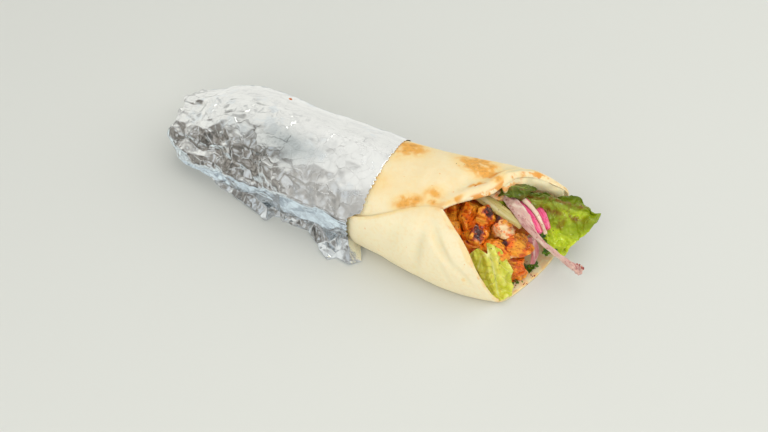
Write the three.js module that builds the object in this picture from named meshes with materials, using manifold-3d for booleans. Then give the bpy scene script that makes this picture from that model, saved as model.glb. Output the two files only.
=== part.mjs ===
// A chicken kebab wrap: a flatbread rolled into a cone round its filling, with its lower half in foil.
// Millimetres, +Z up. The wrap lies along X with its open mouth towards +X, and its overlap seam is on the
// -Y side. The group is moved at the end so that the origin is at the middle of the underside.
import * as THREE from "three";
import { mergeVertices } from "three/addons/utils/BufferGeometryUtils.js";
import Module from "manifold-3d";

const wasm = await Module();
wasm.setup();

// Driving dimensions.
const BREAD = 2.4; // thickness of the flatbread
const CLEARANCE = 0.3; // gap between two pieces that touch
const FOIL_GAP = 0.7; // how far the foil's inside stands off the bread
const SKIN = 1.4; // how far the foil's outside stands off the bread
const MARGIN_STEPS = [0, CLEARANCE]; // a piece as it is, and grown as a cutter for its neighbours

const FOIL_TAIL = -158; // just past the foil's closed end, where the size curves start
const BREAD_TAIL = -139; // end of the rolled bread, inside the foil
const RIM_X = 0; // torn rim of the foil
const BELLY = 75; // where the roll is highest
const TIP = 125; // past the furthest corner of the mouth
const AXIS_Y = 4; // middle line of the roll
const COLUMN = 12; // degrees between two columns of points round the roll
const TUCK = 3 * COLUMN; // how far the inner flap is tucked under the outer flap
const SECTION_POWER = 2.35; // 2 is an ellipse, and more is squarer
const MIDDLE_SHARE = 0.48; // height of the widest point, as a share of the height
const SIDE_BLEND = 0.35; // share of the width over which the near half's size becomes the far half's

// The roll's size along X, as [x, value] stations: a straight taper that swells before the mouth. FOOT is
// where the side meets the floor, as a share of the half width.
const NEAR_HALF = through([FOIL_TAIL, 23], [-60, 35], [40, 48], [BELLY, 49], [TIP, 38]);
const FAR_HALF = through([FOIL_TAIL, 18], [-115, 38], [-60, 34], [RIM_X, 36], [50, 41], [95, 51], [TIP, 43]);
const HEIGHT = through([FOIL_TAIL, 38], [-115, 49], [RIM_X, 53], [BELLY, 57], [TIP, 44]);
const FOOT = through([FOIL_TAIL, 0.76], [-100, 0.94], [-20, 0.84], [BELLY, 0.92]);

// Angles are in degrees from +Y towards +Z. The sheet starts at the outer flap's top edge, on the seam, and
// goes down the near side, under, up the far side and over. The seam runs level and then climbs to the mouth.
const MOUTH_SEAM = 131;
const SEAM = through([FOIL_TAIL, 160], [-60, 168], [-5, 168], [52, MOUTH_SEAM]);

// How far the sheet's front edge reaches, by its angle: back at the seam, far out along the floor, and back
// again over the lip.
const MOUTH = through(
  [MOUTH_SEAM, 52], [155, 77], [190, 94], [240, 109], [290, 118], [340, 111], [378, 111], [400, 90],
  [425, 79], [450, 75], [MOUTH_SEAM + 360, 52], [MOUTH_SEAM + 360 + TUCK, 44],
);

const COLOURS = {
  foil: 0xc9cbc8,
  bread: 0xf0dfb4,
  chicken: 0xd9772b,
  paleLettuce: 0xc3cf5c,
  greenLettuce: 0x6f9a1e,
  onion: 0xd9a8a4,
  turnip: 0xe23a78,
  pickle: 0xb4ab5c,
};

// A smooth curve through [x, value] stations, level beyond its ends.
function through(...stations) {
  const slope = (i, j) => (stations[j][1] - stations[i][1]) / (stations[j][0] - stations[i][0]);
  const last = stations.length - 1;
  const tangents = stations.map((_, i) => (i === 0 || i === last ? 0 : slope(i - 1, i + 1)));
  return (x) => {
    if (x <= stations[0][0]) return stations[0][1];
    if (x >= stations[last][0]) return stations[last][1];
    const i = stations.findIndex((s) => s[0] > x) - 1;
    const [x0, v0] = stations[i];
    const [x1, v1] = stations[i + 1];
    const span = x1 - x0;
    const t = (x - x0) / span;
    const rise = (v1 - v0) * (3 - 2 * t) * t * t;
    const bend = span * t * (1 - t) * (tangents[i] * (1 - t) - tangents[i + 1] * t);
    return v0 + rise + bend;
  };
}

const radians = (degrees) => (degrees * Math.PI) / 180;
const mix = (a, b, t) => a + (b - a) * t;
const smooth = (low, high, x) => THREE.MathUtils.smoothstep(x, low, high);
const bell = (x, middle, reach) => Math.exp(-(((x - middle) / reach) ** 2));
const peak = (x, middle, reach) => Math.max(0, 1 - Math.abs(x - middle) / reach);
const point = (x, y, z) => new THREE.Vector3(x, y, z);

// Gentle lumps from -1 to 1, the same at each run.
function lumps(p, size, seed) {
  const [x, y, z] = [p.x / size + seed * 1.7, p.y / size + seed * 2.9, p.z / size - seed * 0.8];
  return (Math.sin(x * 2.1 + 1.3 * Math.sin(y * 1.7)) + Math.sin(y * 2.3 + 1.1 * Math.sin(z * 1.9)) +
    Math.sin(z * 2.6 + 1.2 * Math.sin(x * 1.5))) / 3;
}

// Flat facets with sharp creases between them, from 0 to 1.
function facets(p, size, seed) {
  const fold = (value) => Math.abs((((value % 2) + 2) % 2) - 1);
  const bent = lumps(p, size * 2.2, seed) * 0.8;
  return (fold((p.x + 0.6 * p.y) / size + bent + seed) + fold((p.y - 0.5 * p.x + p.z) / (size * 1.3) - bent) +
    fold((p.x * 0.4 + p.z) / (size * 0.9) + bent)) / 3;
}

function solidFrom(geometry) {
  const bare = new THREE.BufferGeometry().setAttribute("position", geometry.getAttribute("position"));
  if (geometry.index) bare.setIndex(geometry.index);
  const merged = mergeVertices(bare, 1e-3);
  return new wasm.Manifold(
    new wasm.Mesh({
      numProp: 3,
      vertProperties: new Float32Array(merged.getAttribute("position").array),
      triVerts: new Uint32Array(merged.index.array),
    }),
  );
}

// A closed solid from points and triangles, turned the right way out if its volume comes out negative.
function closedSolid(points, indices) {
  const geometry = new THREE.BufferGeometry().setFromPoints(points);
  geometry.setIndex(indices);
  const solid = solidFrom(geometry);
  if (solid.volume() > 0) return solid;
  geometry.setIndex([...indices].reverse());
  return solidFrom(geometry);
}

function geometryFrom(solid) {
  const mesh = solid.getMesh();
  const positions = new Float32Array(mesh.numVert * 3);
  for (let i = 0; i < mesh.numVert; i++) {
    for (let k = 0; k < 3; k++) positions[i * 3 + k] = mesh.vertProperties[i * mesh.numProp + k];
  }
  const geometry = new THREE.BufferGeometry();
  geometry.setAttribute("position", new THREE.BufferAttribute(positions, 3));
  geometry.setIndex([...mesh.triVerts]);
  geometry.computeVertexNormals();
  return geometry;
}

function largestBody(solid) {
  return solid.decompose().reduce((best, body) => (body.volume() > best.volume() ? body : best));
}

// Triangles from a ring of point indices to a new point at its middle.
function cap(points, indices, ring, flip) {
  const middle = ring.reduce((sum, i) => sum.add(points[i]), point(0, 0, 0)).divideScalar(ring.length);
  points.push(middle);
  ring.forEach((a, k) => {
    const b = ring[(k + 1) % ring.length];
    indices.push(...(flip ? [b, a, points.length - 1] : [a, b, points.length - 1]));
  });
}

// A closed solid between two equal grids of points, joined along their four edges.
function slab(front, back) {
  const [rows, columns] = [front.length, front[0].length];
  const points = [...front.flat(), ...back.flat()];
  const indices = [];
  const at = (side, r, c) => side * rows * columns + r * columns + c;
  const quad = (a, b, c, d) => indices.push(a, b, c, a, c, d);
  const [lastRow, lastColumn] = [rows - 1, columns - 1];
  for (let r = 0; r < lastRow; r++) {
    for (let c = 0; c < lastColumn; c++) {
      quad(at(0, r, c), at(0, r, c + 1), at(0, r + 1, c + 1), at(0, r + 1, c));
      quad(at(1, r, c), at(1, r + 1, c), at(1, r + 1, c + 1), at(1, r, c + 1));
    }
    quad(at(0, r, 0), at(0, r + 1, 0), at(1, r + 1, 0), at(1, r, 0));
    quad(at(0, r, lastColumn), at(1, r, lastColumn), at(1, r + 1, lastColumn), at(0, r + 1, lastColumn));
  }
  for (let c = 0; c < lastColumn; c++) {
    quad(at(0, 0, c), at(1, 0, c), at(1, 0, c + 1), at(0, 0, c + 1));
    quad(at(0, lastRow, c), at(0, lastRow, c + 1), at(1, lastRow, c + 1), at(1, lastRow, c));
  }
  return closedSolid(points, indices);
}

// A closed solid through rings of points, each joined to the next, with its first and last ring capped.
function tube(rings) {
  const columns = rings[0].length;
  const points = rings.flat();
  const indices = [];
  const ringAt = (r) => rings[0].map((_, c) => r * columns + c);
  for (let r = 0; r < rings.length - 1; r++) {
    for (let c = 0; c < columns; c++) {
      const [a, b] = [r * columns + c, r * columns + ((c + 1) % columns)];
      indices.push(a, b, b + columns, a, b + columns, a + columns);
    }
  }
  cap(points, indices, ringAt(0), true);
  cap(points, indices, ringAt(rings.length - 1), false);
  return closedSolid(points, indices);
}

// The bread's floor is raised by the foil's thickness where it lies in the foil.
const floorAt = (x) => SKIN * (1 - smooth(RIM_X + 2, RIM_X + 32, x));

// A point of the roll's wall at x and angle, inset from its outside.
function wall(x, degrees, inset) {
  const angle = radians(degrees);
  const [c, s] = [Math.cos(angle), Math.sin(angle)];
  const height = HEIGHT(x);
  const middle = height * MIDDLE_SHARE;
  const under = middle * (1 - FOOT(x) ** SECTION_POWER) ** (-1 / SECTION_POWER);
  const half = mix(FAR_HALF(x), NEAR_HALF(x), smooth(-SIDE_BLEND, SIDE_BLEND, -c)) - inset;
  const rise = (s > 0 ? height - middle : under) - inset;
  const share = Math.abs(c / half) ** SECTION_POWER + Math.abs(s / rise) ** SECTION_POWER;
  const radius = share ** (-1 / SECTION_POWER);
  return point(x, AXIS_Y + radius * c, Math.max(middle + radius * s, floorAt(x) + inset));
}

// The upper flap's lip, as heights at distances back from its edge: rounded edge, crowned band and groove.
const LIP = [
  { height: -1.4, back: 0, reach: 2.5 },
  { height: 1.3, back: 6, reach: 4 },
  { height: -1.5, back: 15, reach: 6 },
];
const LIP_START = 408; // angle of the lip's far end
const LIP_SOFT = 12; // degrees over which the lip fades in at each end
const DENTS = [
  { depth: 2.2, x: 63, reach: 7, degrees: 158, spread: 13 },
  { depth: 2, x: 44, reach: 6, degrees: 168, spread: 12 },
];

// How far the sheet lies inside the roll's outside: its last part is tucked under the outer flap, the upper
// flap has its lip, and the near flap has two soft dents.
function sheetInset(x, degrees, toEdge) {
  const pastSeam = degrees - SEAM(x) - 360;
  const tucked = smooth(-TUCK - 6, -3, pastSeam) * (BREAD + CLEARANCE * 2);
  const lipEnd = MOUTH_SEAM + 360 - LIP_SOFT / 2;
  const onLip = smooth(LIP_START - LIP_SOFT, LIP_START + LIP_SOFT, degrees) *
    (1 - smooth(lipEnd - LIP_SOFT / 2, lipEnd + LIP_SOFT / 2, degrees));
  const lip = LIP.reduce((sum, part) => sum + part.height * bell(toEdge, part.back, part.reach), 0);
  const dentAt = (dent) =>
    dent.depth * bell(x, dent.x, dent.reach) * bell(degrees, dent.degrees, dent.spread);
  const dents = DENTS.reduce((sum, dent) => sum + dentAt(dent), 0);
  return tucked - lip * onLip + dents;
}

const ROW_CROWDING = 1.6; // more than 1 sets the sheet's rows closer together towards the mouth

// The rolled flatbread as one sheet, grown by a margin on all sides where it is used as a cutter.
function breadSolid(margin) {
  const [rows, columns] = [15, (360 + TUCK) / COLUMN];
  const face = (inset) => {
    const grid = [];
    for (let r = 0; r <= rows; r++) {
      const along = 1 - (1 - r / rows) ** ROW_CROWDING;
      const row = [];
      for (let c = 0; c <= columns; c++) {
        const share = c / columns;
        const front = MOUTH(MOUTH_SEAM + (360 + TUCK) * share);
        const x = mix(BREAD_TAIL - margin, front + margin, along);
        const angle = mix(SEAM(x) - margin, SEAM(x) + 360 + TUCK + margin, share);
        row.push(wall(x, angle, inset + sheetInset(x, angle, front - x)));
      }
      grid.push(row);
    }
    return grid;
  };
  return slab(face(-margin), face(BREAD + margin));
}

const CREASE = through([FOIL_TAIL, 177], [-108, 191], [-55, 176], [RIM_X, 160]);
const CREASE_OUT = 1.4; // how far the long crease on the near side stands proud
const RIM_START = 20; // angle at which the foil's rim and end are counted from
const END_MIDDLE = -153; // where the foil's flat end lies between its corners
const END_CORNER = 4; // how far the end's two crushed corners stick out
const END_ROUND = 6; // length over which the foil's end closes
const END_CLOSING = 0.14; // share of its size by which it closes there
const FACET = 13; // size of a crumple
const CRUMPLE = { smooth: 0.5, crushed: 2.2, nearStart: 95, nearEnd: 240, tailEnd: -125 };

// The torn rim hangs back on the near side, below the seam.
const rimAt = (degrees) => RIM_X + 1 - 9 * smooth(158, 170, degrees) * (1 - smooth(220, 300, degrees));

const foilEndAt = (degrees) => END_MIDDLE - END_CORNER * (bell(degrees, 90, 25) + bell(degrees, 190, 35));

// The foil lies smooth on top and in facets on the near side and round its end.
function crumple(x, degrees) {
  const radius = 30;
  const p = point(x, radius * Math.cos(radians(degrees)), radius * Math.sin(radians(degrees)));
  const { nearStart, nearEnd, tailEnd } = CRUMPLE;
  const near = smooth(nearStart, nearStart + 55, degrees) * (1 - smooth(nearEnd - 40, nearEnd, degrees));
  const tail = 1 - smooth(FOIL_TAIL, tailEnd, x);
  const depth = CRUMPLE.smooth + CRUMPLE.crushed * Math.max(near, tail);
  const pressedFlat = 1 - 0.8 * smooth(RIM_X - 25, RIM_X, x);
  return depth * facets(p, FACET, 3) * pressedFlat;
}

// Below the long crease the foil goes straight down to the floor.
function band(x, degrees, outside) {
  const crease = wall(x, CREASE(x), -SKIN - CREASE_OUT);
  const foot = point(x, AXIS_Y - FOOT(x) * NEAR_HALF(x) - SKIN - CREASE_OUT, 0);
  const [across, up] = [foot.y - crease.y, foot.z - crease.z];
  const middle = HEIGHT(x) * MIDDLE_SHARE;
  const [c, s] = [Math.cos(radians(degrees)), Math.sin(radians(degrees))];
  const scale = c * up - s * across;
  const radius = ((crease.y - AXIS_Y) * up - (crease.z - middle) * across) / scale;
  const p = point(x, AXIS_Y + radius * c, middle + radius * s);
  const within = degrees >= CREASE(x) - 1 && p.z >= 0 && radius > 0;
  const fromAxis = (q) => Math.hypot(q.y - AXIS_Y, q.z - middle);
  return within && fromAxis(p) > fromAxis(outside) ? p : outside;
}

function foilShell() {
  const rows = 16;
  const ringAt = (r, standOff, closing) => {
    const ring = [];
    for (let c = 0; c < 360 / COLUMN; c++) {
      const around = RIM_START + ((SEAM(RIM_X) - RIM_START + c * COLUMN) % 360);
      const end = foilEndAt(around) + closing;
      const x = mix(rimAt(around), end, r / rows);
      const degrees = (SEAM(x) + c * COLUMN) % 360;
      const outer = closing === 0;
      const p = wall(x, degrees, -standOff - (outer ? crumple(x, degrees) : 0));
      p.z = Math.max(p.z, SKIN - standOff);
      const shaped = outer ? band(x, degrees, p) : p;
      const shut = (1 - smooth(0, END_ROUND, x - end)) * END_CLOSING;
      shaped.y = mix(shaped.y, AXIS_Y, shut);
      shaped.z = mix(shaped.z, HEIGHT(x) * MIDDLE_SHARE, shut * (outer ? 0.5 : 1));
      ring.push(shaped);
    }
    return ring;
  };
  const outside = [];
  const inside = [];
  for (let r = 0; r <= rows; r++) {
    outside.push(ringAt(r, SKIN, 0));
    inside.push(ringAt(r, FOIL_GAP, SKIN));
  }
  return tube([...inside.reverse(), ...outside]);
}

// The foil's crushed edge sticks out along the floor beside the roll, with two pointed ears.
const SKIRT = { start: -122, end: 4, reach: 5, rise: 3.5, foldRise: 1.4, facet: 9, gap: 0.2, sweep: 4 };
const EARS = [
  { x: -80, reach: 10, halfWidth: 22, rise: 5 },
  { x: -18, reach: 17, halfWidth: 26, rise: 5 },
];

const skirtReach = (x) => {
  const ends = smooth(SKIRT.start - 2, SKIRT.start + 18, x) * (1 - smooth(SKIRT.end - 8, SKIRT.end + 4, x));
  const ears = EARS.reduce((sum, ear) => sum + ear.reach * peak(x, ear.x, ear.halfWidth), 0);
  return 1 + ends * (SKIRT.reach + ears);
};
const skirtRise = (x) =>
  SKIRT.rise + EARS.reduce((sum, ear) => sum + ear.rise * bell(x, ear.x, ear.halfWidth), 0);

function foilSkirt() {
  const [steps, across] = [20, 2];
  const face = (top) => {
    const grid = [];
    for (let i = 0; i <= steps; i++) {
      const x = mix(SKIRT.start, SKIRT.end, i / steps);
      const root = AXIS_Y - FOOT(x) * NEAR_HALF(x) - SKIN;
      const row = [];
      for (let j = 0; j <= across; j++) {
        const out = j / across;
        const folds = 1.6 * facets(point(x, FACET * j, 0), SKIRT.facet, 1) * Math.min(1, 2 * out);
        const rise = skirtRise(x) * (1 - out) ** 1.4 + SKIRT.foldRise + folds;
        row.push(point(x + SKIRT.sweep * out, root - skirtReach(x) * out, top ? rise : SKIRT.gap));
      }
      grid.push(row);
    }
    return grid;
  };
  return slab(face(true), face(false));
}

const CHUNK_SQUARENESS = 0.86; // 1 is round, and less is blockier

// A lump of chicken: an icosahedron pulled to a size, knobbled and turned.
function chunk({ at, half, turn, seed }, margin) {
  const geometry = new THREE.IcosahedronGeometry(1, 1);
  const position = geometry.getAttribute("position");
  const rotation = new THREE.Quaternion().setFromEuler(new THREE.Euler(...turn.map(radians)));
  for (let i = 0; i < position.count; i++) {
    const p = new THREE.Vector3().fromBufferAttribute(position, i).normalize();
    const squared = point(...p.toArray().map((v) => Math.sign(v) * Math.abs(v) ** CHUNK_SQUARENESS));
    const knobs = 0.15 * lumps(p, 0.62, seed) + 0.06 * lumps(p, 0.3, seed + 4);
    squared.multiply(point(...half)).multiplyScalar(1 + knobs);
    squared.addScaledVector(p, margin).applyQuaternion(rotation).add(point(...at));
    position.setXYZ(i, ...squared);
  }
  return solidFrom(geometry);
}

const CHUNKS = [
  { at: [51, -3, 33], half: [8, 10, 8], turn: [0, 0, 0], seed: 9 },
  { at: [63, -2, 36], half: [6.5, 12, 8], turn: [30, 0, 20], seed: 2 },
  { at: [74, 1, 37], half: [9, 7, 7], turn: [10, 20, 30], seed: 1 },
  { at: [72, -9, 30], half: [9.5, 8.5, 8], turn: [30, 0, -15], seed: 7 },
  { at: [86, 2, 32], half: [10, 8.5, 8], turn: [20, -10, -20], seed: 3 },
  { at: [98, -2, 22], half: [12, 9, 8.5], turn: [0, 24, 10], seed: 4 },
  { at: [99, -7.5, 12], half: [8, 7, 6.5], turn: [15, 0, 40], seed: 5 },
  { at: [102, -9.5, 5.5], half: [7, 6, 4.6], turn: [0, 0, 60], seed: 6 },
  { at: [70, -15, 23], half: [9, 8, 8], turn: [0, 10, 10], seed: 8 },
  { at: [73, 15, 41], half: [7.5, 7, 6.5], turn: [0, 40, 10], seed: 10 },
  { at: [87, -12, 20], half: [9, 8, 9], turn: [0, 20, -30], seed: 11 },
];

// A sheet through rows of points, given thickness, with a wavy rim.
function leaf({ rows, thickness, ruffle }, margin) {
  const [along, across] = [8, 7];
  const rowCurves = rows.map((row) => new THREE.CatmullRomCurve3(row.map((p) => point(...p))));
  const surface = [];
  for (let i = 0; i <= along; i++) {
    const line = [];
    for (let j = 0; j <= across; j++) {
      const column = new THREE.CatmullRomCurve3(rowCurves.map((curve) => curve.getPoint(j / across)));
      const p = column.getPoint(i / along);
      const rim = Math.max(Math.abs(2 * (j / across) - 1), i / along) ** 3;
      p.z += ruffle * rim * Math.sin((i + j) * 1.7);
      line.push(p);
    }
    surface.push(line);
  }
  const widen = (edge, inner) => edge.add(edge.clone().sub(inner).setLength(margin));
  if (margin > 0) {
    for (const line of surface) {
      widen(line[0], line[1]);
      widen(line[across], line[across - 1]);
    }
    for (let j = 0; j <= across; j++) {
      widen(surface[0][j], surface[1][j]);
      widen(surface[along][j], surface[along - 1][j]);
    }
  }
  const normals = surface.map((line, i) =>
    line.map((_, j) => {
      const du = surface[Math.min(i + 1, along)][j].clone().sub(surface[Math.max(i - 1, 0)][j]);
      const dv = surface[i][Math.min(j + 1, across)].clone().sub(surface[i][Math.max(j - 1, 0)]);
      return du.cross(dv).normalize();
    }),
  );
  const half = thickness / 2 + margin;
  const face = (side) =>
    surface.map((line, i) => line.map((p, j) => p.clone().addScaledVector(normals[i][j], side * half)));
  return slab(face(1), face(-1));
}

// A strip along a smooth path. Its width changes along it, and its broad face looks the way given.
function strip({ path, widths, depth, face, steps = 6, sides = 8 }, margin) {
  const curve = new THREE.CatmullRomCurve3(path.map((p) => point(...p)));
  const width = through(...widths.map((w, i) => [i / (widths.length - 1), w]));
  const rings = [];
  for (let i = 0; i <= steps; i++) {
    const along = i / steps;
    const tangent = curve.getTangent(along);
    const side = tangent.clone().cross(point(...face)).normalize();
    const up = side.clone().cross(tangent);
    const beyond = { 0: -margin, 1: margin }[along] ?? 0;
    const middle = curve.getPoint(along).addScaledVector(tangent, beyond);
    const ring = [];
    for (let k = 0; k < sides; k++) {
      const angle = (2 * Math.PI * (k + 0.5)) / sides;
      const [c, s] = [Math.cos(angle), Math.sin(angle)];
      const radius = (Math.abs(c) ** 4 + Math.abs(s) ** 4) ** -0.25;
      const p = middle.clone().addScaledVector(side, radius * c * (width(along) / 2 + margin));
      ring.push(p.addScaledVector(up, radius * s * (depth / 2 + margin)));
    }
    rings.push(ring);
  }
  return tube(rings);
}

// The chicken that fills the roll behind the chunks, out to just inside both layers of the sheet. Its front
// leans back at the top.
const CORE_FRONT = through(
  [0, 88], [45, 66], [90, 50], [150, 54], [225, 84], [270, 98], [315, 100], [360, 88],
);
const CORE_INSET = 2 * BREAD + 4 * CLEARANCE + 1.4;
const CORE_ROUNDING = 0.35; // how far its front face is drawn in towards the middle

function fillingCore() {
  const [rows, columns] = [11, 16];
  const rings = [];
  for (let r = 0; r <= rows; r++) {
    const along = r / rows;
    const ring = [];
    for (let c = 0; c < columns; c++) {
      const degrees = (360 * c) / columns;
      const x = mix(BREAD_TAIL + 4, CORE_FRONT(degrees), along);
      const p = wall(x, degrees, CORE_INSET);
      const drawnIn = smooth(0.88, 1, along) * CORE_ROUNDING;
      p.y = mix(p.y, AXIS_Y, drawnIn) + 0.5 * lumps(p, 5, 1);
      p.z = mix(p.z, HEIGHT(x) * MIDDLE_SHARE, drawnIn);
      ring.push(p);
    }
    rings.push(ring);
  }
  return tube(rings);
}

const STRIPS = {
  onion_slice_long: {
    path: [[80, 17, 44], [92, 10, 45], [101, 4, 43], [109, 0, 38], [122, 0, 29], [134, 2, 20], [142, 4, 14]],
    widths: [7, 9, 8, 4.5, 3.8, 4.4, 7], depth: 2.4, face: [0.3, -0.5, 0.8], steps: 10,
  },
  onion_slice_thin: {
    path: [[85, 24, 42], [93, 19, 44], [104, 14, 42], [114, 7, 34]],
    widths: [3, 3.4, 3.2, 2.4], depth: 2.2, face: [0.3, -0.2, 0.9],
  },
  onion_slice_purple: {
    path: [[71, 28, 40], [77, 22, 44], [85, 12, 41]],
    widths: [5, 5, 3], depth: 1.8, face: [0.9, -0.3, 0.3],
  },
  onion_slice_low: {
    path: [[103, 8, 24], [109, 4, 18], [110, -2, 11]],
    widths: [6, 7, 4], depth: 2.6, face: [0.9, -0.4, 0.3],
  },
  turnip_pickle_1: {
    path: [[85, 23, 39], [94, 17, 41], [110, 3, 36]],
    widths: [7, 10, 7], depth: 5, face: [0.3, -0.4, 0.8],
  },
  turnip_pickle_2: {
    path: [[98, 26, 32], [105, 20, 34], [112, 14, 30]],
    widths: [7, 8, 6], depth: 5, face: [0.3, -0.4, 0.8],
  },
  cucumber_pickle: {
    path: [[62, 11, 43], [80, 6, 43], [99, 2, 39]],
    widths: [7, 7.5, 5], depth: 5, face: [0.2, -0.5, 0.8],
  },
};

const LEAVES = {
  lettuce_leaf_pale: {
    rows: [
      [[71, -25, 27], [80, -19, 33], [88, -14, 32]],
      [[79, -30, 20], [88, -24, 26], [96, -16, 24]],
      [[87, -35, 11], [95, -30, 15], [101, -19, 14]],
      [[93, -34, 4], [99, -32, 5], [104, -22, 5]],
    ],
    thickness: 1.2, ruffle: 1,
  },
  lettuce_leaf_green: {
    rows: [
      [[70, 36, 38], [75, 28, 43], [82, 18, 42]],
      [[88, 42, 38], [92, 32, 40], [98, 18, 35]],
      [[106, 47, 34], [110, 33, 33], [112, 15, 23]],
      [[122, 49, 29], [123, 33, 25], [124, 14, 10]],
      [[136, 47, 26], [137, 37, 22], [131, 22, 13]],
    ],
    thickness: 1.2, ruffle: 2,
  },
};

const wrap = new THREE.Group();
const taken = []; // grown copies of what is placed, which later pieces keep clear of

function place(name, colour, build, look = {}) {
  const [solid, cutter] = MARGIN_STEPS.map(build);
  const clear = largestBody(taken.reduce((rest, other) => rest.subtract(other), solid));
  const material = new THREE.MeshStandardMaterial({ color: colour, roughness: 0.6, metalness: 0, ...look });
  const mesh = new THREE.Mesh(geometryFrom(clear), material);
  mesh.name = name;
  wrap.add(mesh);
  taken.push(cutter);
}

place("flatbread", COLOURS.bread, breadSolid, { roughness: 0.85 });
place("foil_wrapper", COLOURS.foil, () => foilShell().add(foilSkirt()), { roughness: 0.25, metalness: 1 });

for (const [name, spec] of Object.entries(STRIPS)) {
  const colour = COLOURS[name.split("_")[0]] ?? COLOURS.pickle;
  place(name, colour, (margin) => strip(spec, margin), { roughness: 0.45 });
}
place("lettuce_leaf_pale", COLOURS.paleLettuce, (margin) => leaf(LEAVES.lettuce_leaf_pale, margin));
place("lettuce_leaf_green", COLOURS.greenLettuce, (margin) => leaf(LEAVES.lettuce_leaf_green, margin));
CHUNKS.forEach((spec, i) =>
  place(`chicken_chunk_${i + 1}`, COLOURS.chicken, (margin) => chunk(spec, margin)),
);
place("chicken_filling", COLOURS.chicken, fillingCore);

const box = new THREE.Box3().setFromObject(wrap);
const centre = box.getCenter(new THREE.Vector3());
wrap.position.set(-centre.x, -centre.y, -box.min.z);

export default wrap;
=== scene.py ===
import math

import bpy
import numpy as np
from mathutils import Matrix, Vector
from mathutils.bvhtree import BVHTree
from mathutils.geometry import delaunay_2d_cdt
from mathutils.kdtree import KDTree


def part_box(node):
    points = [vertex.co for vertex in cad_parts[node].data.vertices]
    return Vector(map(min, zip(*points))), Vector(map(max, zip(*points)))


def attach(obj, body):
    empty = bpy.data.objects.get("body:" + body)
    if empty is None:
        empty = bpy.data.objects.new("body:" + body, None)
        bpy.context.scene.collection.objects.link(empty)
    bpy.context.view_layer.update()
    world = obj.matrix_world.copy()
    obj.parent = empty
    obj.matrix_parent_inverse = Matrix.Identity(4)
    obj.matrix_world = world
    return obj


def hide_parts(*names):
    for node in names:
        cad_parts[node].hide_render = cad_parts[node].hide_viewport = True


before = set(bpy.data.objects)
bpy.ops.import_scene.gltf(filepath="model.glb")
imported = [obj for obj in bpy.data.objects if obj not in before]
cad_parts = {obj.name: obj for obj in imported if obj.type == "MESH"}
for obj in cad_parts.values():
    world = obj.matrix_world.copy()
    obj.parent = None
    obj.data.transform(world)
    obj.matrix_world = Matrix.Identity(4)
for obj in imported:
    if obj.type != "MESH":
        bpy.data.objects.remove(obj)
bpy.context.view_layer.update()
mm = 0.001
print("frame loaded:", len(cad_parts), "nodes")


# places, points and numbers that more than one piece needs

def deselectAll():
    if bpy.context.mode != "OBJECT":
        bpy.ops.object.mode_set(mode="OBJECT")
    bpy.ops.object.select_all(action="DESELECT")


def makeActive(piece):
    deselectAll()
    piece.select_set(True)
    bpy.context.view_layer.objects.active = piece


def applyModifier(piece, kind, **settings):
    makeActive(piece)
    modifier = piece.modifiers.new(kind.lower(), kind)
    for name, value in settings.items():
        setattr(modifier, name, value)
    bpy.ops.object.modifier_apply(modifier=modifier.name)


def thicken(piece, thickness, offset=0):
    applyModifier(piece, "SOLIDIFY", thickness=thickness, offset=offset)


def inEditMode(piece, *steps):
    makeActive(piece)
    bpy.ops.object.mode_set(mode="EDIT")
    bpy.ops.mesh.select_all(action="SELECT")
    for step in steps:
        step()
    bpy.ops.object.mode_set(mode="OBJECT")


def weld():
    bpy.ops.mesh.remove_doubles(threshold=0.02 * mm)


def faceOutwards():
    bpy.ops.mesh.normals_make_consistent(inside=False)


def joinTriangles():
    bpy.ops.mesh.tris_convert_to_quads(face_threshold=math.radians(60), shape_threshold=math.radians(60))


def copyNode(node, name):
    # a merged copy of a frame node, to be refined
    piece = bpy.data.objects.new(name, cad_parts[node].data.copy())
    bpy.context.scene.collection.objects.link(piece)
    piece.data.materials.clear()
    inEditMode(piece, weld, faceOutwards)
    return piece


def pointsOf(piece):
    points = np.empty(len(piece.data.vertices) * 3)
    piece.data.vertices.foreach_get("co", points)
    return points.reshape(-1, 3)


def normalsOf(piece):
    normals = np.empty(len(piece.data.vertices) * 3)
    piece.data.vertices.foreach_get("normal", normals)
    return normals.reshape(-1, 3)


def movePoints(piece, points):
    piece.data.vertices.foreach_set("co", np.ascontiguousarray(points).ravel())
    piece.data.update()


def paint(piece, name, values):
    # a value from 0 to 1 for each point, or one for all
    layer = piece.data.attributes.new(name, "FLOAT", "POINT")
    values = np.broadcast_to(np.ravel(values), len(piece.data.vertices))
    layer.data.foreach_set("value", np.clip(values, 0, 1).astype(np.float32))


def paintPlace(piece, name, vectors):
    layer = piece.data.attributes.new(name, "FLOAT_VECTOR", "POINT")
    layer.data.foreach_set("vector", vectors.astype(np.float32).ravel())


def treeOf(piece):
    # a mesh to cast rays at
    corners = [vertex.co for vertex in piece.data.vertices]
    return BVHTree.FromPolygons(corners, [face.vertices for face in piece.data.polygons])


def alongAndAcross(first, second, degrees):
    # two coordinates measured along and across a line at some degrees
    cosine, sine = math.cos(math.radians(degrees)), math.sin(math.radians(degrees))
    return first * cosine + second * sine, second * cosine - first * sine


def rowsOf(keys, *rows):
    # dictionaries that share their keys: a short row leaves out the last ones
    return [dict(zip(keys, row)) for row in rows]


def inBox(node, shares):
    # a place given as shares of a frame node's box
    low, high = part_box(node)
    return np.array([low[i] + shares[i] * (high[i] - low[i]) for i in range(3)])


def smoothStep(low, high, values):
    share = np.clip((values - low) / (high - low), 0, 1)
    return share * share * (3 - 2 * share)


def past(values, low, high):
    # 0 below the low place and 1 above the high one, both in millimetres
    return smoothStep(low * mm, high * mm, values)


def bell(values, middle, reach):
    return np.exp(-(((values - middle) / reach) ** 2))


def mix(first, second, share):
    return first + (second - first) * share


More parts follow.
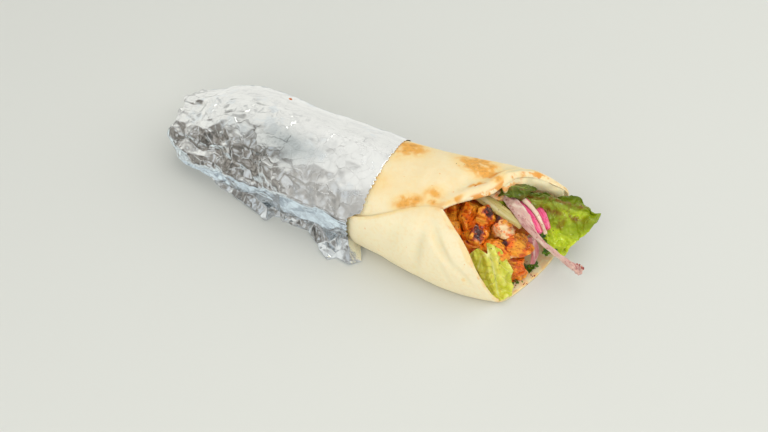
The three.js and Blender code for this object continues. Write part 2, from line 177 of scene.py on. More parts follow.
def latticeValue(cells, seed):
    # one number from -1 to 1 for each whole-numbered cell, the same at each run: large odd numbers scramble
    # the cell's places
    keys = cells.astype(np.int64)
    mixed = (keys[:, 0] * 73856093) ^ (keys[:, 1] * 19349663) ^ (keys[:, 2] * 83492791) ^ (seed * 2654435761)
    mixed = (mixed ^ (mixed >> 13)) & 0xFFFFFFF
    mixed = (mixed * 1274126177) & 0xFFFFFFFF
    mixed = mixed ^ (mixed >> 15)
    return (mixed & 0xFFFFF) / 0x7FFFF - 1


def softNoise(points, size, seed):
    # gentle lumps from -1 to 1
    scaled = points / size + seed * 7.31
    cells = np.floor(scaled)
    share = scaled - cells
    share = share * share * (3 - 2 * share)
    total = np.zeros(len(points))
    for corner in np.ndindex(2, 2, 2):
        weight = np.prod(np.where(np.array(corner), share, 1 - share), axis=1)
        total += weight * latticeValue(cells + corner, seed)
    return total


def roughNoise(points, size, seed, octaves=3):
    return sum(softNoise(points, size / 2 ** i, seed + i * 11) / 2 ** i for i in range(octaves))


def smoothLine(points, count, begin=0.0):
    # a smooth line through a few points, from a share of its way on
    points = np.array(points, float)
    padded = np.concatenate([[2 * points[0] - points[1]], points, [2 * points[-1] - points[-2]]])
    spots = np.linspace(begin * (len(points) - 1), len(points) - 1, count)
    result = []
    for spot in spots:
        i = min(int(spot), len(points) - 2)
        t = spot - i
        p0, p1, p2, p3 = padded[i:i + 4]
        result.append(0.5 * (2 * p1 + (p2 - p0) * t + (2 * p0 - 5 * p1 + 4 * p2 - p3) * t ** 2
                             + (3 * p1 - p0 - 3 * p2 + p3) * t ** 3))
    return np.array(result)


def sheetFrom(name, grid):
    # a sheet through a grid of points, from a grid primitive
    rows, columns = grid.shape[:2]
    deselectAll()
    bpy.ops.mesh.primitive_grid_add(x_subdivisions=columns - 1, y_subdivisions=rows - 1, size=1)
    piece = bpy.context.active_object
    piece.name = name
    piece.data.name = name
    movePoints(piece, grid.reshape(-1, 3))
    return piece


def gridNormals(grid, closed=False):
    along, across = np.gradient(grid, axis=0), np.gradient(grid, axis=1)
    if closed:
        across[:, 0] = across[:, -1] = grid[:, 1] - grid[:, -2]
    normals = np.cross(along, across)
    return normals / np.maximum(np.linalg.norm(normals, axis=2, keepdims=True), 1e-12)


def finishPiece(piece, material, nodes=()):
    piece.data.materials.clear()
    piece.data.materials.append(material)
    makeActive(piece)
    bpy.ops.object.shade_smooth()
    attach(piece, "root")
    if nodes:
        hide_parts(*nodes)
    print("made", piece.name, len(piece.data.polygons), "faces")


# camera and light

cameraPlace = {
    "target": (7 * mm, -1 * mm, 0),
    "azimuth": 27,
    "elevation": 48.7,
    "distance": 1.231,
    "lens": 85,
}


def directionAt(azimuth, elevation):
    # from the target outwards, with azimuth 0 on the -Y side and 90 on the +X side
    around, up = math.radians(azimuth), math.radians(elevation)
    return Vector((math.sin(around) * math.cos(up), -math.cos(around) * math.cos(up), math.sin(up)))


def lookFrom(piece, back):
    piece.rotation_mode = "QUATERNION"
    piece.rotation_quaternion = (-back).to_track_quat("-Z", "Y")


def makeCamera():
    back = directionAt(cameraPlace["azimuth"], cameraPlace["elevation"])
    deselectAll()
    bpy.ops.object.camera_add(location=Vector(cameraPlace["target"]) + back * cameraPlace["distance"])
    camera = bpy.context.active_object
    camera.name = "camera"
    lookFrom(camera, back)
    camera.data.lens = cameraPlace["lens"]
    camera.data.clip_start = 0.05
    bpy.context.scene.camera = camera


makeCamera()

softboxes = {
    "side": {"azimuth": 126, "elevation": 55, "size": 2.5, "power": 15.5, "tint": (1, 0.99, 0.97)},
    "front": {"azimuth": 8, "elevation": 36, "size": 1.4, "power": 8.6, "tint": (1, 0.985, 0.96)},
}

studio = {
    "lightDistance": 1.5,
    "floor": (0.71, 0.72, 0.675),
    "floorSize": 6,
    "ambient": (0.51, 0.515, 0.51),
    "seen": (0.79, 0.80, 0.755),
    "behind": (0.90, 0.905, 0.87),
    "front": (0.07, 0.066, 0.06),
    "brown": (0.33, 0.305, 0.27),
    "window": (0.66, 0.70, 0.73),
    "frontEdge": (-0.58, -0.08),
    "patchScale": 2.6,
    "brownEdge": (0.36, 0.54),
    "windowEdge": (0.50, 0.66),
    "below": (0.76, 0.84, 0.85),
    "belowDim": (0.33, 0.37, 0.40),
    "belowEdge": (-0.62, -0.44),
    "belowPatches": (0.46, 0.60),
    "high": (0.86, 0.865, 0.835),
    "highEdge": (0.25, 1.10),
    "highLean": 1.05,
    "streaks": (0.44, 0.45, 0.445),
    "streakScale": 7.0,
    "streakShare": 0.75,
    "streakEdge": (0.52, 0.62),
    "streakHeight": (-0.3, 0.4),
    "lamp": (6.0, 6.0, 5.8),
    "lampAt": (126, 55),
    "lampEdge": (0.980, 0.994),
}


def addNode(tree, kind, inputs=None, **settings):
    node = tree.nodes.new(kind)
    for name, value in settings.items():
        setattr(node, name, value)
    for name, value in (inputs or {}).items():
        if isinstance(value, bpy.types.NodeSocket):
            tree.links.new(value, node.inputs[name])
        else:
            node.inputs[name].default_value = value
    return node


def colour(values):
    return (*values, 1) if len(values) == 3 else values


def blend(tree, share, first, second):
    node = addNode(tree, "ShaderNodeMix", data_type="RGBA", clamp_factor=True)
    for index, value in ((0, share), (6, first), (7, second)):
        if isinstance(value, bpy.types.NodeSocket):
            tree.links.new(value, node.inputs[index])
        else:
            node.inputs[index].default_value = value if index == 0 else colour(value)
    return node.outputs[2]


def calculate(tree, operation, first, second):
    return addNode(tree, "ShaderNodeMath", {0: first, 1: second}, operation=operation).outputs[0]


def times(tree, first, second):
    return calculate(tree, "MULTIPLY", first, second)


def plus(tree, first, second):
    return calculate(tree, "ADD", first, second)


def vectorMath(tree, operation, first, second, output=0):
    return addNode(tree, "ShaderNodeVectorMath", {0: first, 1: second}, operation=operation).outputs[output]


def noiseOf(tree, place, scale, detail=4.0, output="Fac"):
    inputs = {"Vector": place, "Scale": scale, "Detail": detail}
    return addNode(tree, "ShaderNodeTexNoise", inputs).outputs[output]


def layered(tree, base, *layers):
    # colours laid over a first one in turn, each with its own share
    for share, over in layers:
        base = blend(tree, share, base, over)
    return base


def remap(tree, value, fromLow, fromHigh, toLow=0.0, toHigh=1.0):
    # smoothly from one range to another
    settings = {"Value": value, "From Min": fromLow, "From Max": fromHigh, "To Min": toLow, "To Max": toHigh}
    return addNode(tree, "ShaderNodeMapRange", settings, interpolation_type="SMOOTHSTEP").outputs[0]


def between(tree, value, low, high):
    # evenly from the low to the high number, as the value goes from 0 to 1
    return addNode(tree, "ShaderNodeMapRange", {"Value": value, "To Min": low, "To Max": high}).outputs[0]


def addSoftbox(name, box):
    back = directionAt(box["azimuth"], box["elevation"])
    deselectAll()
    bpy.ops.object.light_add(type="AREA", location=back * studio["lightDistance"])
    light = bpy.context.active_object
    light.name = name
    lookFrom(light, back)
    light.data.shape = "DISK"
    light.data.size = box["size"]
    light.data.energy = box["power"]
    light.data.color = box["tint"]
    light.visible_glossy = False


def makeRoom():
    # what shiny foil mirrors: a room pale above and behind, and dim in front with a few lighter places
    world = bpy.data.worlds.new("studio")
    bpy.context.scene.world = world
    world.use_nodes = True
    tree = world.node_tree
    tree.nodes.clear()
    place = addNode(tree, "ShaderNodeTexCoord").outputs["Generated"]
    height = addNode(tree, "ShaderNodeSeparateXYZ", {0: place}).outputs["Z"]
    towards = vectorMath(tree, "DOT_PRODUCT", place, directionAt(cameraPlace["azimuth"], 0), "Value")
    patches = noiseOf(tree, place, studio["patchScale"], 3.0)
    dim = blend(tree, remap(tree, patches, *studio["brownEdge"]), studio["front"], studio["brown"])
    dim = blend(tree, remap(tree, patches, *studio["windowEdge"]), dim, studio["window"])
    room = blend(tree, remap(tree, towards, *studio["frontEdge"]), studio["behind"], dim)
    streaks = noiseOf(tree, place, studio["streakScale"])
    below = blend(tree, remap(tree, streaks, *studio["belowPatches"]), studio["below"], studio["belowDim"])
    room = blend(tree, remap(tree, height, *studio["belowEdge"]), below, room)
    # the pale part overhead comes down further behind than in front
    leaning = calculate(tree, "SUBTRACT", height, times(tree, towards, studio["highLean"]))
    room = blend(tree, remap(tree, leaning, *studio["highEdge"]), room, studio["high"])
    streakShare = remap(tree, streaks, *studio["streakEdge"])
    streakShare = times(tree, streakShare, remap(tree, height, *studio["streakHeight"]))
    room = blend(tree, times(tree, streakShare, studio["streakShare"]), room, studio["streaks"])
    # a small bright lamp, for the shine on what is wet
    lampward = vectorMath(tree, "DOT_PRODUCT", place, directionAt(*studio["lampAt"]), "Value")
    room = blend(tree, remap(tree, lampward, *studio["lampEdge"]), room, studio["lamp"])
    path = addNode(tree, "ShaderNodeLightPath").outputs
    room = blend(tree, path["Is Glossy Ray"], studio["ambient"], room)
    room = blend(tree, path["Is Camera Ray"], room, studio["seen"])
    background = addNode(tree, "ShaderNodeBackground", {"Color": room})
    output = addNode(tree, "ShaderNodeOutputWorld")
    tree.links.new(background.outputs[0], output.inputs[0])


def makeFloor():
    deselectAll()
    bpy.ops.mesh.primitive_plane_add(size=studio["floorSize"])
    floor = bpy.context.active_object
    floor.name = "floor"
    material = bpy.data.materials.new("floor")
    material.use_nodes = True
    shader = material.node_tree.nodes["Principled BSDF"]
    shader.inputs["Base Color"].default_value = colour(studio["floor"])
    shader.inputs["Roughness"].default_value = 0.6
    shader.inputs["Specular IOR Level"].default_value = 0.2
    floor.data.materials.append(material)
    floor.visible_glossy = False


for boxName, box in softboxes.items():
    addSoftbox(boxName, box)
makeRoom()
makeFloor()
bpy.context.scene.view_settings.view_transform = "Standard"
print("studio ready")


# shader effects that several finishes share

def newGroup(name, inputs, outputs):
    tree = bpy.data.node_groups.new(name, "ShaderNodeTree")
    for title, kind, value in inputs:
        socket = tree.interface.new_socket(title, in_out="INPUT", socket_type=kind)
        if value is not None:
            socket.default_value = value
    for title, kind in outputs:
        tree.interface.new_socket(title, in_out="OUTPUT", socket_type=kind)
    return tree, tree.nodes.new("NodeGroupInput").outputs, tree.nodes.new("NodeGroupOutput")


def makeMottle():
    # uneven patches from 0 to 1
    inputs = [("Place", "NodeSocketVector", None), ("Scale", "NodeSocketFloat", 100.0),
              ("Low", "NodeSocketFloat", 0.4), ("High", "NodeSocketFloat", 0.6)]
    tree, given, result = newGroup("mottle", inputs, [("Mask", "NodeSocketFloat")])
    settings = {"Vector": given["Place"], "Scale": given["Scale"], "Detail": 4.0, "Roughness": 0.6}
    noise = addNode(tree, "ShaderNodeTexNoise", settings)
    mask = remap(tree, noise.outputs["Fac"], given["Low"], given["High"])
    tree.links.new(mask, result.inputs["Mask"])
    return tree


def makeSpecks():
    # small separate dots, 1 inside a dot
    inputs = [("Place", "NodeSocketVector", None), ("Scale", "NodeSocketFloat", 300.0),
              ("Size", "NodeSocketFloat", 0.2)]
    tree, given, result = newGroup("specks", inputs, [("Mask", "NodeSocketFloat")])
    cells = addNode(tree, "ShaderNodeTexVoronoi", {"Vector": given["Place"], "Scale": given["Scale"]})
    picked = addNode(tree, "ShaderNodeSeparateColor", {0: cells.outputs["Color"]}).outputs[0]
    size = times(tree, given["Size"], picked)
    mask = calculate(tree, "LESS_THAN", cells.outputs["Distance"], size)
    tree.links.new(mask, result.inputs["Mask"])
    return tree


mottleGroup = makeMottle()
specksGroup = makeSpecks()


def groupMask(tree, group, place, **values):
    node = addNode(tree, "ShaderNodeGroup", node_tree=group)
    tree.links.new(place, node.inputs["Place"])
    for name, value in values.items():
        node.inputs[name].default_value = value
    return node.outputs["Mask"]


def mottle(tree, place, scale, low, high):
    return groupMask(tree, mottleGroup, place, Scale=scale, Low=low, High=high)


def specks(tree, place, scale, size):
    return groupMask(tree, specksGroup, place, Scale=scale, Size=size)


def newFinish(name, **constants):
    # a material with its shader, ready for colour and bump
    material = bpy.data.materials.new(name)
    material.use_nodes = True
    tree = material.node_tree
    shader = tree.nodes["Principled BSDF"]
    for title, value in constants.items():
        shader.inputs[title].default_value = value
    place = addNode(tree, "ShaderNodeTexCoord").outputs["Object"]
    return material, tree, shader, place


def layerOf(tree, name, output="Fac"):
    return addNode(tree, "ShaderNodeAttribute", attribute_name=name).outputs[output]


def bumpFrom(tree, shader, height, distance, strength=1.0):
    bump = addNode(tree, "ShaderNodeBump", {"Height": height, "Distance": distance, "Strength": strength})
    tree.links.new(bump.outputs["Normal"], shader.inputs["Normal"])


# flatbread

breadLook = {
    "cream": (0.91, 0.74, 0.435),
    # the pale tone is laid in random patches, and also as painted light where the sheet faces the front
    "pale": (0.99, 0.87, 0.59),
    "warm": (0.95, 0.66, 0.25),
    "tan": (0.86, 0.39, 0.05),
    "brown": (0.52, 0.19, 0.03),
    "oil": (0.82, 0.31, 0.035),
    # painted shade: the grey laid into grooves, dents and the roll's inside
    "shadeGrey": (0.66, 0.63, 0.40),
}

# toasted patches: shares of the bread's box, then half sizes in mm, turn about Z and strength
breadToast = rowsOf(
    ("at", "half", "turn", "strength"),
    ((0.65, 0.25, 0.85), (10, 5, 9), 25, 1.25),
    ((0.70, 0.35, 0.95), (8, 6, 8), 20, 0.8),
    ((0.55, 0.30, 0.90), (12, 12, 10), 0, 0.4),
    ((0.71, 0.30, 0.90), (5, 3, 7), 10, 0.9),
    ((0.57, 0.68, 0.90), (13, 12, 9), 0, 1.1),
    ((0.56, 0.55, 0.92), (7, 9, 9), 0, 0.4),
    ((0.76, 0.72, 0.95), (16, 11, 10), -20, 1.4),
    ((0.73, 0.84, 0.85), (12, 9, 9), -10, 0.5),
    ((0.83, 0.62, 0.99), (6, 3, 5), 60, 0.9),
    ((0.79, 0.54, 0.98), (7, 2.2, 5), 62, 0.9),
    ((0.76, 0.36, 0.95), (7, 1.8, 4), 50, 0.8),
    ((0.91, 0.80, 0.80), (9, 3, 5), -25, 0.6),
    ((0.30, 0.60, 0.90), (20, 14, 12), 0, 0.6),
    ((0.80, 0.98, 0.45), (18, 6, 9), 0, 0.7),
    ((0.62, 0.92, 0.40), (12, 6, 10), 0, 0.8),
    ((0.85, 0.02, 0.40), (1.1, 4, 1.1), 0, 0.9))

breadShape = {
    "levels": 3,
    "lumps": 0.35 * mm,
    "lumpSize": 11 * mm,
    "ripples": 0.14 * mm,
    "rippleSize": 4 * mm,
    "blister": 0.5 * mm,
    "blisterSize": 5 * mm,
    "edgeReach": 1.5 * mm,
    "lipCrown": 1.5 * mm,
    "lipCrownAt": (5 * mm, 3.5 * mm),
    "lipGroove": 1.5 * mm,
    "lipGrooveAt": (13 * mm, 4 * mm),
    "thinEdge": 2.9 * mm,
    "farGroove": 0.9 * mm,
    "farGrooveAt": (4.5 * mm, 1.3 * mm),
    "farFlare": 3.5 * mm,
    "farFlareEnd": 14 * mm,
    "drawnIn": 3.0 * mm,
}

# a second layer inside the far wall: it hangs from just inside the wall's edge, between two angles round the
# roll's middle line, and leans towards the mouth
breadPly = {
    "angles": (68, 12),
    "stations": 8,
    "inward": 1.4 * mm,
    "back": (1.5 * mm, 0.3 * mm),
    "hang": (10 * mm, 8 * mm),
    "lean": (5 * mm, 1 * mm),
    "along": 130,
    "across": 24,
    "bulge": 2.2 * mm,
    "thickness": 1.6 * mm,
}

# soft dents in the near flap: shares of the bread's box, half sizes and depth in mm
breadDents = rowsOf(
    ("at", "half", "turn", "depth"),
    ((0.72, 0.05, 0.55), (15, 3.2), 88, 2.2),
    ((0.78, 0.10, 0.70), (13, 2.4), -40, 2.4),
    ((0.65, 0.05, 0.60), (12, 5.0), 75, 0.9),
    ((0.85, 0.05, 0.45), (8, 1.8), -50, 1.0),
    ((0.80, 0.05, 0.40), (10, 2.0), -62, 0.8))


def toastMask(points):
    mask = np.zeros(len(points))
    for patch in breadToast:
        x, y, z = (points - inBox("flatbread", patch["at"])).T / mm
        reach = np.stack([*alongAndAcross(x, y, patch["turn"]), z], axis=1) / np.array(patch["half"])
        mask = np.maximum(mask, patch["strength"] * np.exp(-(reach ** 2).sum(axis=1)))
    return mask


rollMiddle = inBox("flatbread", (0.5, 0.5, 0.45))
# out of the mouth, towards the near side and up
outAndUp = np.array([0.3, -0.6, 0.7])


def awayFromMiddle(points):
    # directions straight out from the roll's middle line
    out = points - rollMiddle
    out[:, 0] = 0
    return out / np.maximum(np.linalg.norm(out, axis=1, keepdims=True), 1e-6)


def rimPoints(bread, points):
    # those of the points that lie on the bread's edge
    rim = np.empty(len(points), np.float32)
    bread.data.attributes["rim"].data.foreach_get("value", rim)
    return points[rim > 0.97]


def makeBreadFinish():
    material, tree, shader, place = newFinish(
        "breadCrumb", **{"Roughness": 0.72, "Specular IOR Level": 0.3, "Subsurface Weight": 0.12,
                         "Subsurface Scale": 0.003, "Subsurface Radius": (1.0, 0.6, 0.3)})
    look = breadLook
    toast = layerOf(tree, "toast")
    grain = noiseOf(tree, place, 420.0, 6.0)
    blotch = noiseOf(tree, place, 170.0, 5.0)
    broken = times(tree, toast, remap(tree, blotch, 0.30, 0.62, 0.45, 1.25))
    darker = times(tree, broken, remap(tree, grain, 0.32, 0.76, 0.15, 0.85))
    edge = times(tree, layerOf(tree, "edge"), remap(tree, blotch, 0.42, 0.62, 0.15, 1.0))
    oil = times(tree, layerOf(tree, "oil"), remap(tree, blotch, 0.44, 0.56))
    base = layered(
        tree, look["cream"],
        (times(tree, mottle(tree, place, 55.0, 0.35, 0.7), 0.5), look["pale"]),
        # painted light: paler where the sheet faces the front and on the far wall's inside
        (layerOf(tree, "fair"), look["pale"]),
        # painted shade: grey in the grooves, the dents and inside the roll
        (layerOf(tree, "hollow"), look["shadeGrey"]),
        (remap(tree, toast, 0.03, 0.45, 0.0, 0.55), look["warm"]),
        (remap(tree, broken, 0.22, 0.95, 0.0, 0.85), look["tan"]),
        (remap(tree, darker, 0.25, 1.00, 0.0, 0.75), look["brown"]),
        (times(tree, edge, 0.5), look["warm"]),
        (times(tree, oil, 0.85), look["oil"]),
        (remap(tree, grain, 0.46, 0.70, 0.0, 0.22), look["warm"]),
        (times(tree, specks(tree, place, 150.0, 0.12), 0.4), look["tan"]))
    tree.links.new(base, shader.inputs["Base Color"])
    bumpFrom(tree, shader, plus(tree, times(tree, grain, 0.5), blotch), 0.35 * mm, 0.6)
    return material


def makeBread():
    bread = copyNode("flatbread", "bread_sheet")
    inEditMode(bread, joinTriangles)
    shape = breadShape
    # the narrow faces between the sheet's two sides mark its edge
    onEdge = np.zeros(len(bread.data.vertices))
    for face in bread.data.polygons:
        corners = [bread.data.vertices[i].co for i in face.vertices]
        sides = [(corners[i] - corners[i - 1]).length for i in range(len(corners))]
        if min(sides) < shape["thinEdge"]:
            onEdge[list(face.vertices)] = 1
    paint(bread, "rim", onEdge)
    applyModifier(bread, "SUBSURF", levels=shape["levels"], render_levels=shape["levels"])
    points = pointsOf(bread)
    nearRim = rimPoints(bread, points)
    tree = KDTree(len(nearRim))
    for i, point in enumerate(nearRim):
        tree.insert(point, i)
    tree.balance()
    toRim = np.array([tree.find(point)[2] for point in points])

    toast = toastMask(points)
    out = awayFromMiddle(points)
    x, y, z = points.T
    rise = shape["lumps"] * softNoise(points, shape["lumpSize"], 3)
    rise += shape["ripples"] * softNoise(points, shape["rippleSize"], 5)
    rise += shape["blister"] * toast * smoothStep(-0.2, 0.6, softNoise(points, shape["blisterSize"], 8))
    # the upper flap's front edge is a thick pale band with a groove behind it
    onLip = past(x, 58, 68) * past(z, 36, 46) * past(y, -18, -10)
    rise += onLip * shape["lipCrown"] * bell(toRim, *shape["lipCrownAt"])
    rise -= onLip * shape["lipGroove"] * bell(toRim, *shape["lipGrooveAt"])
    # the far wall shows a second layer under its edge
    onFar = past(x, 70, 80) * past(y, 14, 24) * past(z, 14, 24)
    rise -= onFar * shape["farGroove"] * bell(toRim, *shape["farGrooveAt"])
    rise += onFar * shape["farFlare"] * (1 - smoothStep(0, shape["farFlareEnd"], toRim))
    # soft dents in the near flap, and the roll drawn in a little under the foil
    sunk = np.zeros(len(points))
    onNear = 1 - smoothStep(-0.2, 0.1, (y - inBox("flatbread", (0, 0.35, 0))[1]) / (10 * mm))
    for dent in breadDents:
        away = (points - inBox("flatbread", dent["at"])) / mm
        along, across = alongAndAcross(away[:, 0], away[:, 2], dent["turn"])
        groove = bell(along, 0, dent["half"][0]) * bell(across, 0, dent["half"][1]) * onNear
        rise -= dent["depth"] * mm * groove
        sunk = np.maximum(sunk, 0.3 * dent["depth"] * groove)
    rise -= shape["drawnIn"] * (1 - smoothStep(rimX - 16 * mm, rimX - 3 * mm, x))
    # close to the foil's rim and on the floor the sheet stays where it is
    held = 0.7 * (1 - past(x - rimX, 0, 14))
    held = held * smoothStep(rimX - 3 * mm, rimX, x)
    onFloor = 1 - past(z, 0.5, 4)
    points += out * (rise * (1 - held) * (1 - onFloor))[:, None]
    points[:, 2] = np.maximum(z, 0.02 * mm)
    movePoints(bread, points)

    normals = normalsOf(bread)
    facing = (normals * out).sum(axis=1)
    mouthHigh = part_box("chicken_filling")[1]
    nearMouth = smoothStep(mouthHigh.x - 62 * mm, mouthHigh.x - 28 * mm, x)
    onUpper = past(z, 30, 42)
    onFlap = past(y, -26, -16)
    # orange oil on the upper flap's lip, inside the roll and along the rest of the mouth's edge
    lip = 1.6 * nearMouth * onUpper * onFlap * (1 - past(toRim, 0.4, 3.0))
    lip = lip + 1.4 * onLip * bell(toRim, 10 * mm, 1.8 * mm)
    inside = nearMouth * (facing < -0.3) * 0.35 * (1 - onFar)
    mouthEdge = 0.6 * nearMouth * (1 - onFlap * onUpper) * bell(toRim, 0.5 * mm, 0.6 * mm)
    mouthEdge = mouthEdge * smoothStep(0.1, 0.6, softNoise(points, 3 * mm, 23))
    # painted shade: grey in the grooves, in the dents and inside the roll
    greyed = 0.8 * onFar * bell(toRim, 4.5 * mm, 1.2 * mm)
    greyed = np.maximum(greyed, 0.6 * onLip * bell(toRim, 14 * mm, 4 * mm))
    greyed = np.maximum(greyed, 0.55 * sunk)
    paint(bread, "toast", toast * smoothStep(-0.1, 0.3, facing))
    paint(bread, "edge", 1 - smoothStep(0.2, 1, toRim / shape["edgeReach"]))
    paint(bread, "oil", lip * smoothStep(-0.5, 0.2, softNoise(points, 6 * mm, 21)) + inside + mouthEdge)
    # painted shade, grey, inside the roll and in the grooves and dents
    paint(bread, "hollow", np.maximum(smoothStep(0.2, 0.9, -facing) * 0.5 * (1 - onFar), greyed))
    # painted light: paler where the sheet faces the front, and all over the far wall's inside
    paint(bread, "fair", np.maximum(smoothStep(0.3, 0.8, -normals[:, 1]), onFar * (facing < 0)))
    finishPiece(bread, breadFinish, ["flatbread"])


def farRim(angles, count):
    # the far wall's edge at even angles round the roll's middle line, from the far side up
    bread = bpy.data.objects["bread_sheet"]
    edge = rimPoints(bread, pointsOf(bread))
    edge = edge[edge[:, 0] > inBox("flatbread", (0.7, 0, 0))[0]]
    degrees = np.degrees(np.arctan2(edge[:, 2] - rollMiddle[2], edge[:, 1] - rollMiddle[1]))
    return np.array([edge[np.abs(degrees - angle) < 3].mean(axis=0) for angle in np.linspace(*angles, count)])


def makePly():
    shape = breadPly
    rim = farRim(shape["angles"], shape["stations"])
    share = np.linspace(0, 1, shape["stations"])
    inward = rollMiddle - rim
    inward[:, 0] = 0
    inward /= np.linalg.norm(inward, axis=1, keepdims=True)
    upper = rim + shape["inward"] * inward
    upper[:, 0] -= mix(*shape["back"], share)
    lower = upper.copy()
    lower[:, 0] += mix(*shape["lean"], share)
    lower[:, 2] -= mix(*shape["hang"], share)
    upper, lower = smoothLine(upper, shape["along"]), smoothLine(lower, shape["along"])
    down = np.linspace(0, 1, shape["across"])[None, :, None]
    grid = mix(upper[:, None, :], lower[:, None, :], down)
    wave = 1 + 0.9 * softNoise(grid.reshape(-1, 3), 7 * mm, 17).reshape(grid.shape[:2])
    bulge = shape["bulge"] * np.sin(math.pi * down[:, :, 0]) * wave
    ply = sheetFrom("bread_ply", grid + bulge[:, :, None] * outAndUp)
    thicken(ply, shape["thickness"])
    points = pointsOf(ply)
    share = np.clip((points[:, 0] - upper[0, 0]) / np.ptp(upper[:, 0]), 0, 1)
    # painted light, a little, over the whole layer
    paint(ply, "fair", 0.15)
    # painted shade in patches, as in a fold
    paint(ply, "hollow", 0.38 + 0.40 * softNoise(points, 6 * mm, 19))
    paint(ply, "oil", 0.9 * (1 - smoothStep(0.1, 0.45, share)))
    finishPiece(ply, breadFinish)


# foil

foilLow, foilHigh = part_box("foil_wrapper")
rimX = foilHigh.x - 7 * mm

foilLook = {
    "bright": (0.95, 0.95, 0.93),
    # painted bluish reflection, in patches and on the band below the crease
    "cool": (0.84, 0.895, 0.935),
    # painted darker reflection, for the grey place on the slope
    "shadeGrey": (0.52, 0.56, 0.565),
    "roughness": (0.10, 0.22),
    "dullRoughness": 0.06,
    "metal": (1.0, 0.72),
    "facetScale": 110.0,
    "facetTilt": 0.34,
    "bend": 16 * mm,
    "ridge": 0.22 * mm,
    "fineHeight": 0.1 * mm,
}

foilShape = {
    "rows": 208,
    "columns": 216,
    "endRows": 14,
    "thickness": 0.2 * mm,
    "standOff": 0.5 * mm,
    "endMiddle": foilLow.x + 4 * mm,
    "endCorner": 5 * mm,
    "rimBack": 9 * mm,
    "rimTeeth": 1.3 * mm,
    "toothWidth": 3.1 * mm,
    "shownShare": 2.2,
    "closing": 0.16,
    "closingReach": 9 * mm,
    "pinch": 2.6 * mm,
    "pinchReach": 10 * mm,
    "deepest": 2.4 * mm,
    "wrinkles": 0.95 * mm,
    "flats": 1.6 * mm,
    "endDents": 2.5 * mm,
    "furthestOut": 1 * mm,
    "lowest": 0.25 * mm,
}

# crumples, from the widest to the finest: how far the corners of flat facets, or the ridges round hollows,
# stand off, and for the finer two how much more of it the tail has
foilCrumples = rowsOf(
    ("kind", "width", "stretch", "height", "seed", "tail"),
    ("facets", 21 * mm, 1.1, 5.0 * mm, 4),
    ("hollows", 17 * mm, 1.1, 2.2 * mm, 14),
    ("facets", 10.5 * mm, 1.2, 2.9 * mm, 5, 1.2),
    ("facets", 6 * mm, 1.3, 0.7 * mm, 15, 1.0))

# the long crease on the near side, as shares of the foil's length and height
foilCrease = [(0.0, 0.16), (0.2, 0.30), (0.6, 0.50), (1.0, 0.60)]
creaseOut = {"tail": 4.5 * mm, "rim": 1.5 * mm}


def facetHeights(along, across, width, stretch, seed):
    # flat facets between scattered corners, from 0 to 1
    spread = np.random.default_rng(seed)
    stepAlong, stepAcross = width * stretch, width
    lowAlong, lowAcross = along.min() - stepAlong, across.min() - stepAcross
    countAlong = int((along.max() - lowAlong) / stepAlong) + 3
    countAcross = int((across.max() - lowAcross) / stepAcross) + 3
    corners = []
    for i in range(countAlong):
        for j in range(countAcross):
            jitter = spread.uniform(-0.42, 0.42, 2)
            shift = 0.5 * (i % 2)
            corners.append((lowAlong + (i + jitter[0]) * stepAlong,
                            lowAcross + (j + shift + jitter[1]) * stepAcross))
    heights = spread.uniform(0, 1, len(corners))
    placed, _, faces, origins = delaunay_2d_cdt([Vector(c) for c in corners], [], [], 0, 1e-7)[:4]
    result = np.zeros(along.shape)
    flatAlong, flatAcross, flatResult = along.ravel(), across.ravel(), result.ravel()
    order = np.argsort(flatAlong)
    sortedAlong = flatAlong[order]
    for face in faces:
        a, b, c = (placed[i] for i in face)
        ha, hb, hc = (heights[origins[i][0]] for i in face)
        first = np.searchsorted(sortedAlong, min(a.x, b.x, c.x))
        last = np.searchsorted(sortedAlong, max(a.x, b.x, c.x))
        near = order[first:last]
        near = near[(flatAcross[near] >= min(a.y, b.y, c.y)) & (flatAcross[near] <= max(a.y, b.y, c.y))]
        if len(near) == 0:
            continue
        area = (b.y - c.y) * (a.x - c.x) + (c.x - b.x) * (a.y - c.y)
        if abs(area) < 1e-14:
            continue
        u = ((b.y - c.y) * (flatAlong[near] - c.x) + (c.x - b.x) * (flatAcross[near] - c.y)) / area
        v = ((c.y - a.y) * (flatAlong[near] - c.x) + (a.x - c.x) * (flatAcross[near] - c.y)) / area
        w = 1 - u - v
        inside = (u >= -1e-9) & (v >= -1e-9) & (w >= -1e-9)
        flatResult[near[inside]] = (u * ha + v * hb + w * hc)[inside]
    return flatResult.reshape(along.shape)


def hollowHeights(along, across, width, stretch, seed):
    # smooth hollows between sharp ridges, from 0 to 1
    spread = np.random.default_rng(seed)
    nearest = np.full(along.shape, np.inf)
    for i in range(int(np.ptp(along) / (width * stretch)) + 3):
        for j in range(int(np.ptp(across) / width) + 3):
            jitter = spread.uniform(-0.45, 0.45, 2)
            u = (along - along.min()) / (width * stretch) - (i - 0.5 + jitter[0])
            v = (across - across.min()) / width - (j - 0.5 + 0.5 * (i % 2) + jitter[1])
            nearest = np.minimum(nearest, u ** 2 + v ** 2)
    return 1.3 * np.tanh(nearest / 0.585)


crumpleKinds = {"facets": facetHeights, "hollows": hollowHeights}


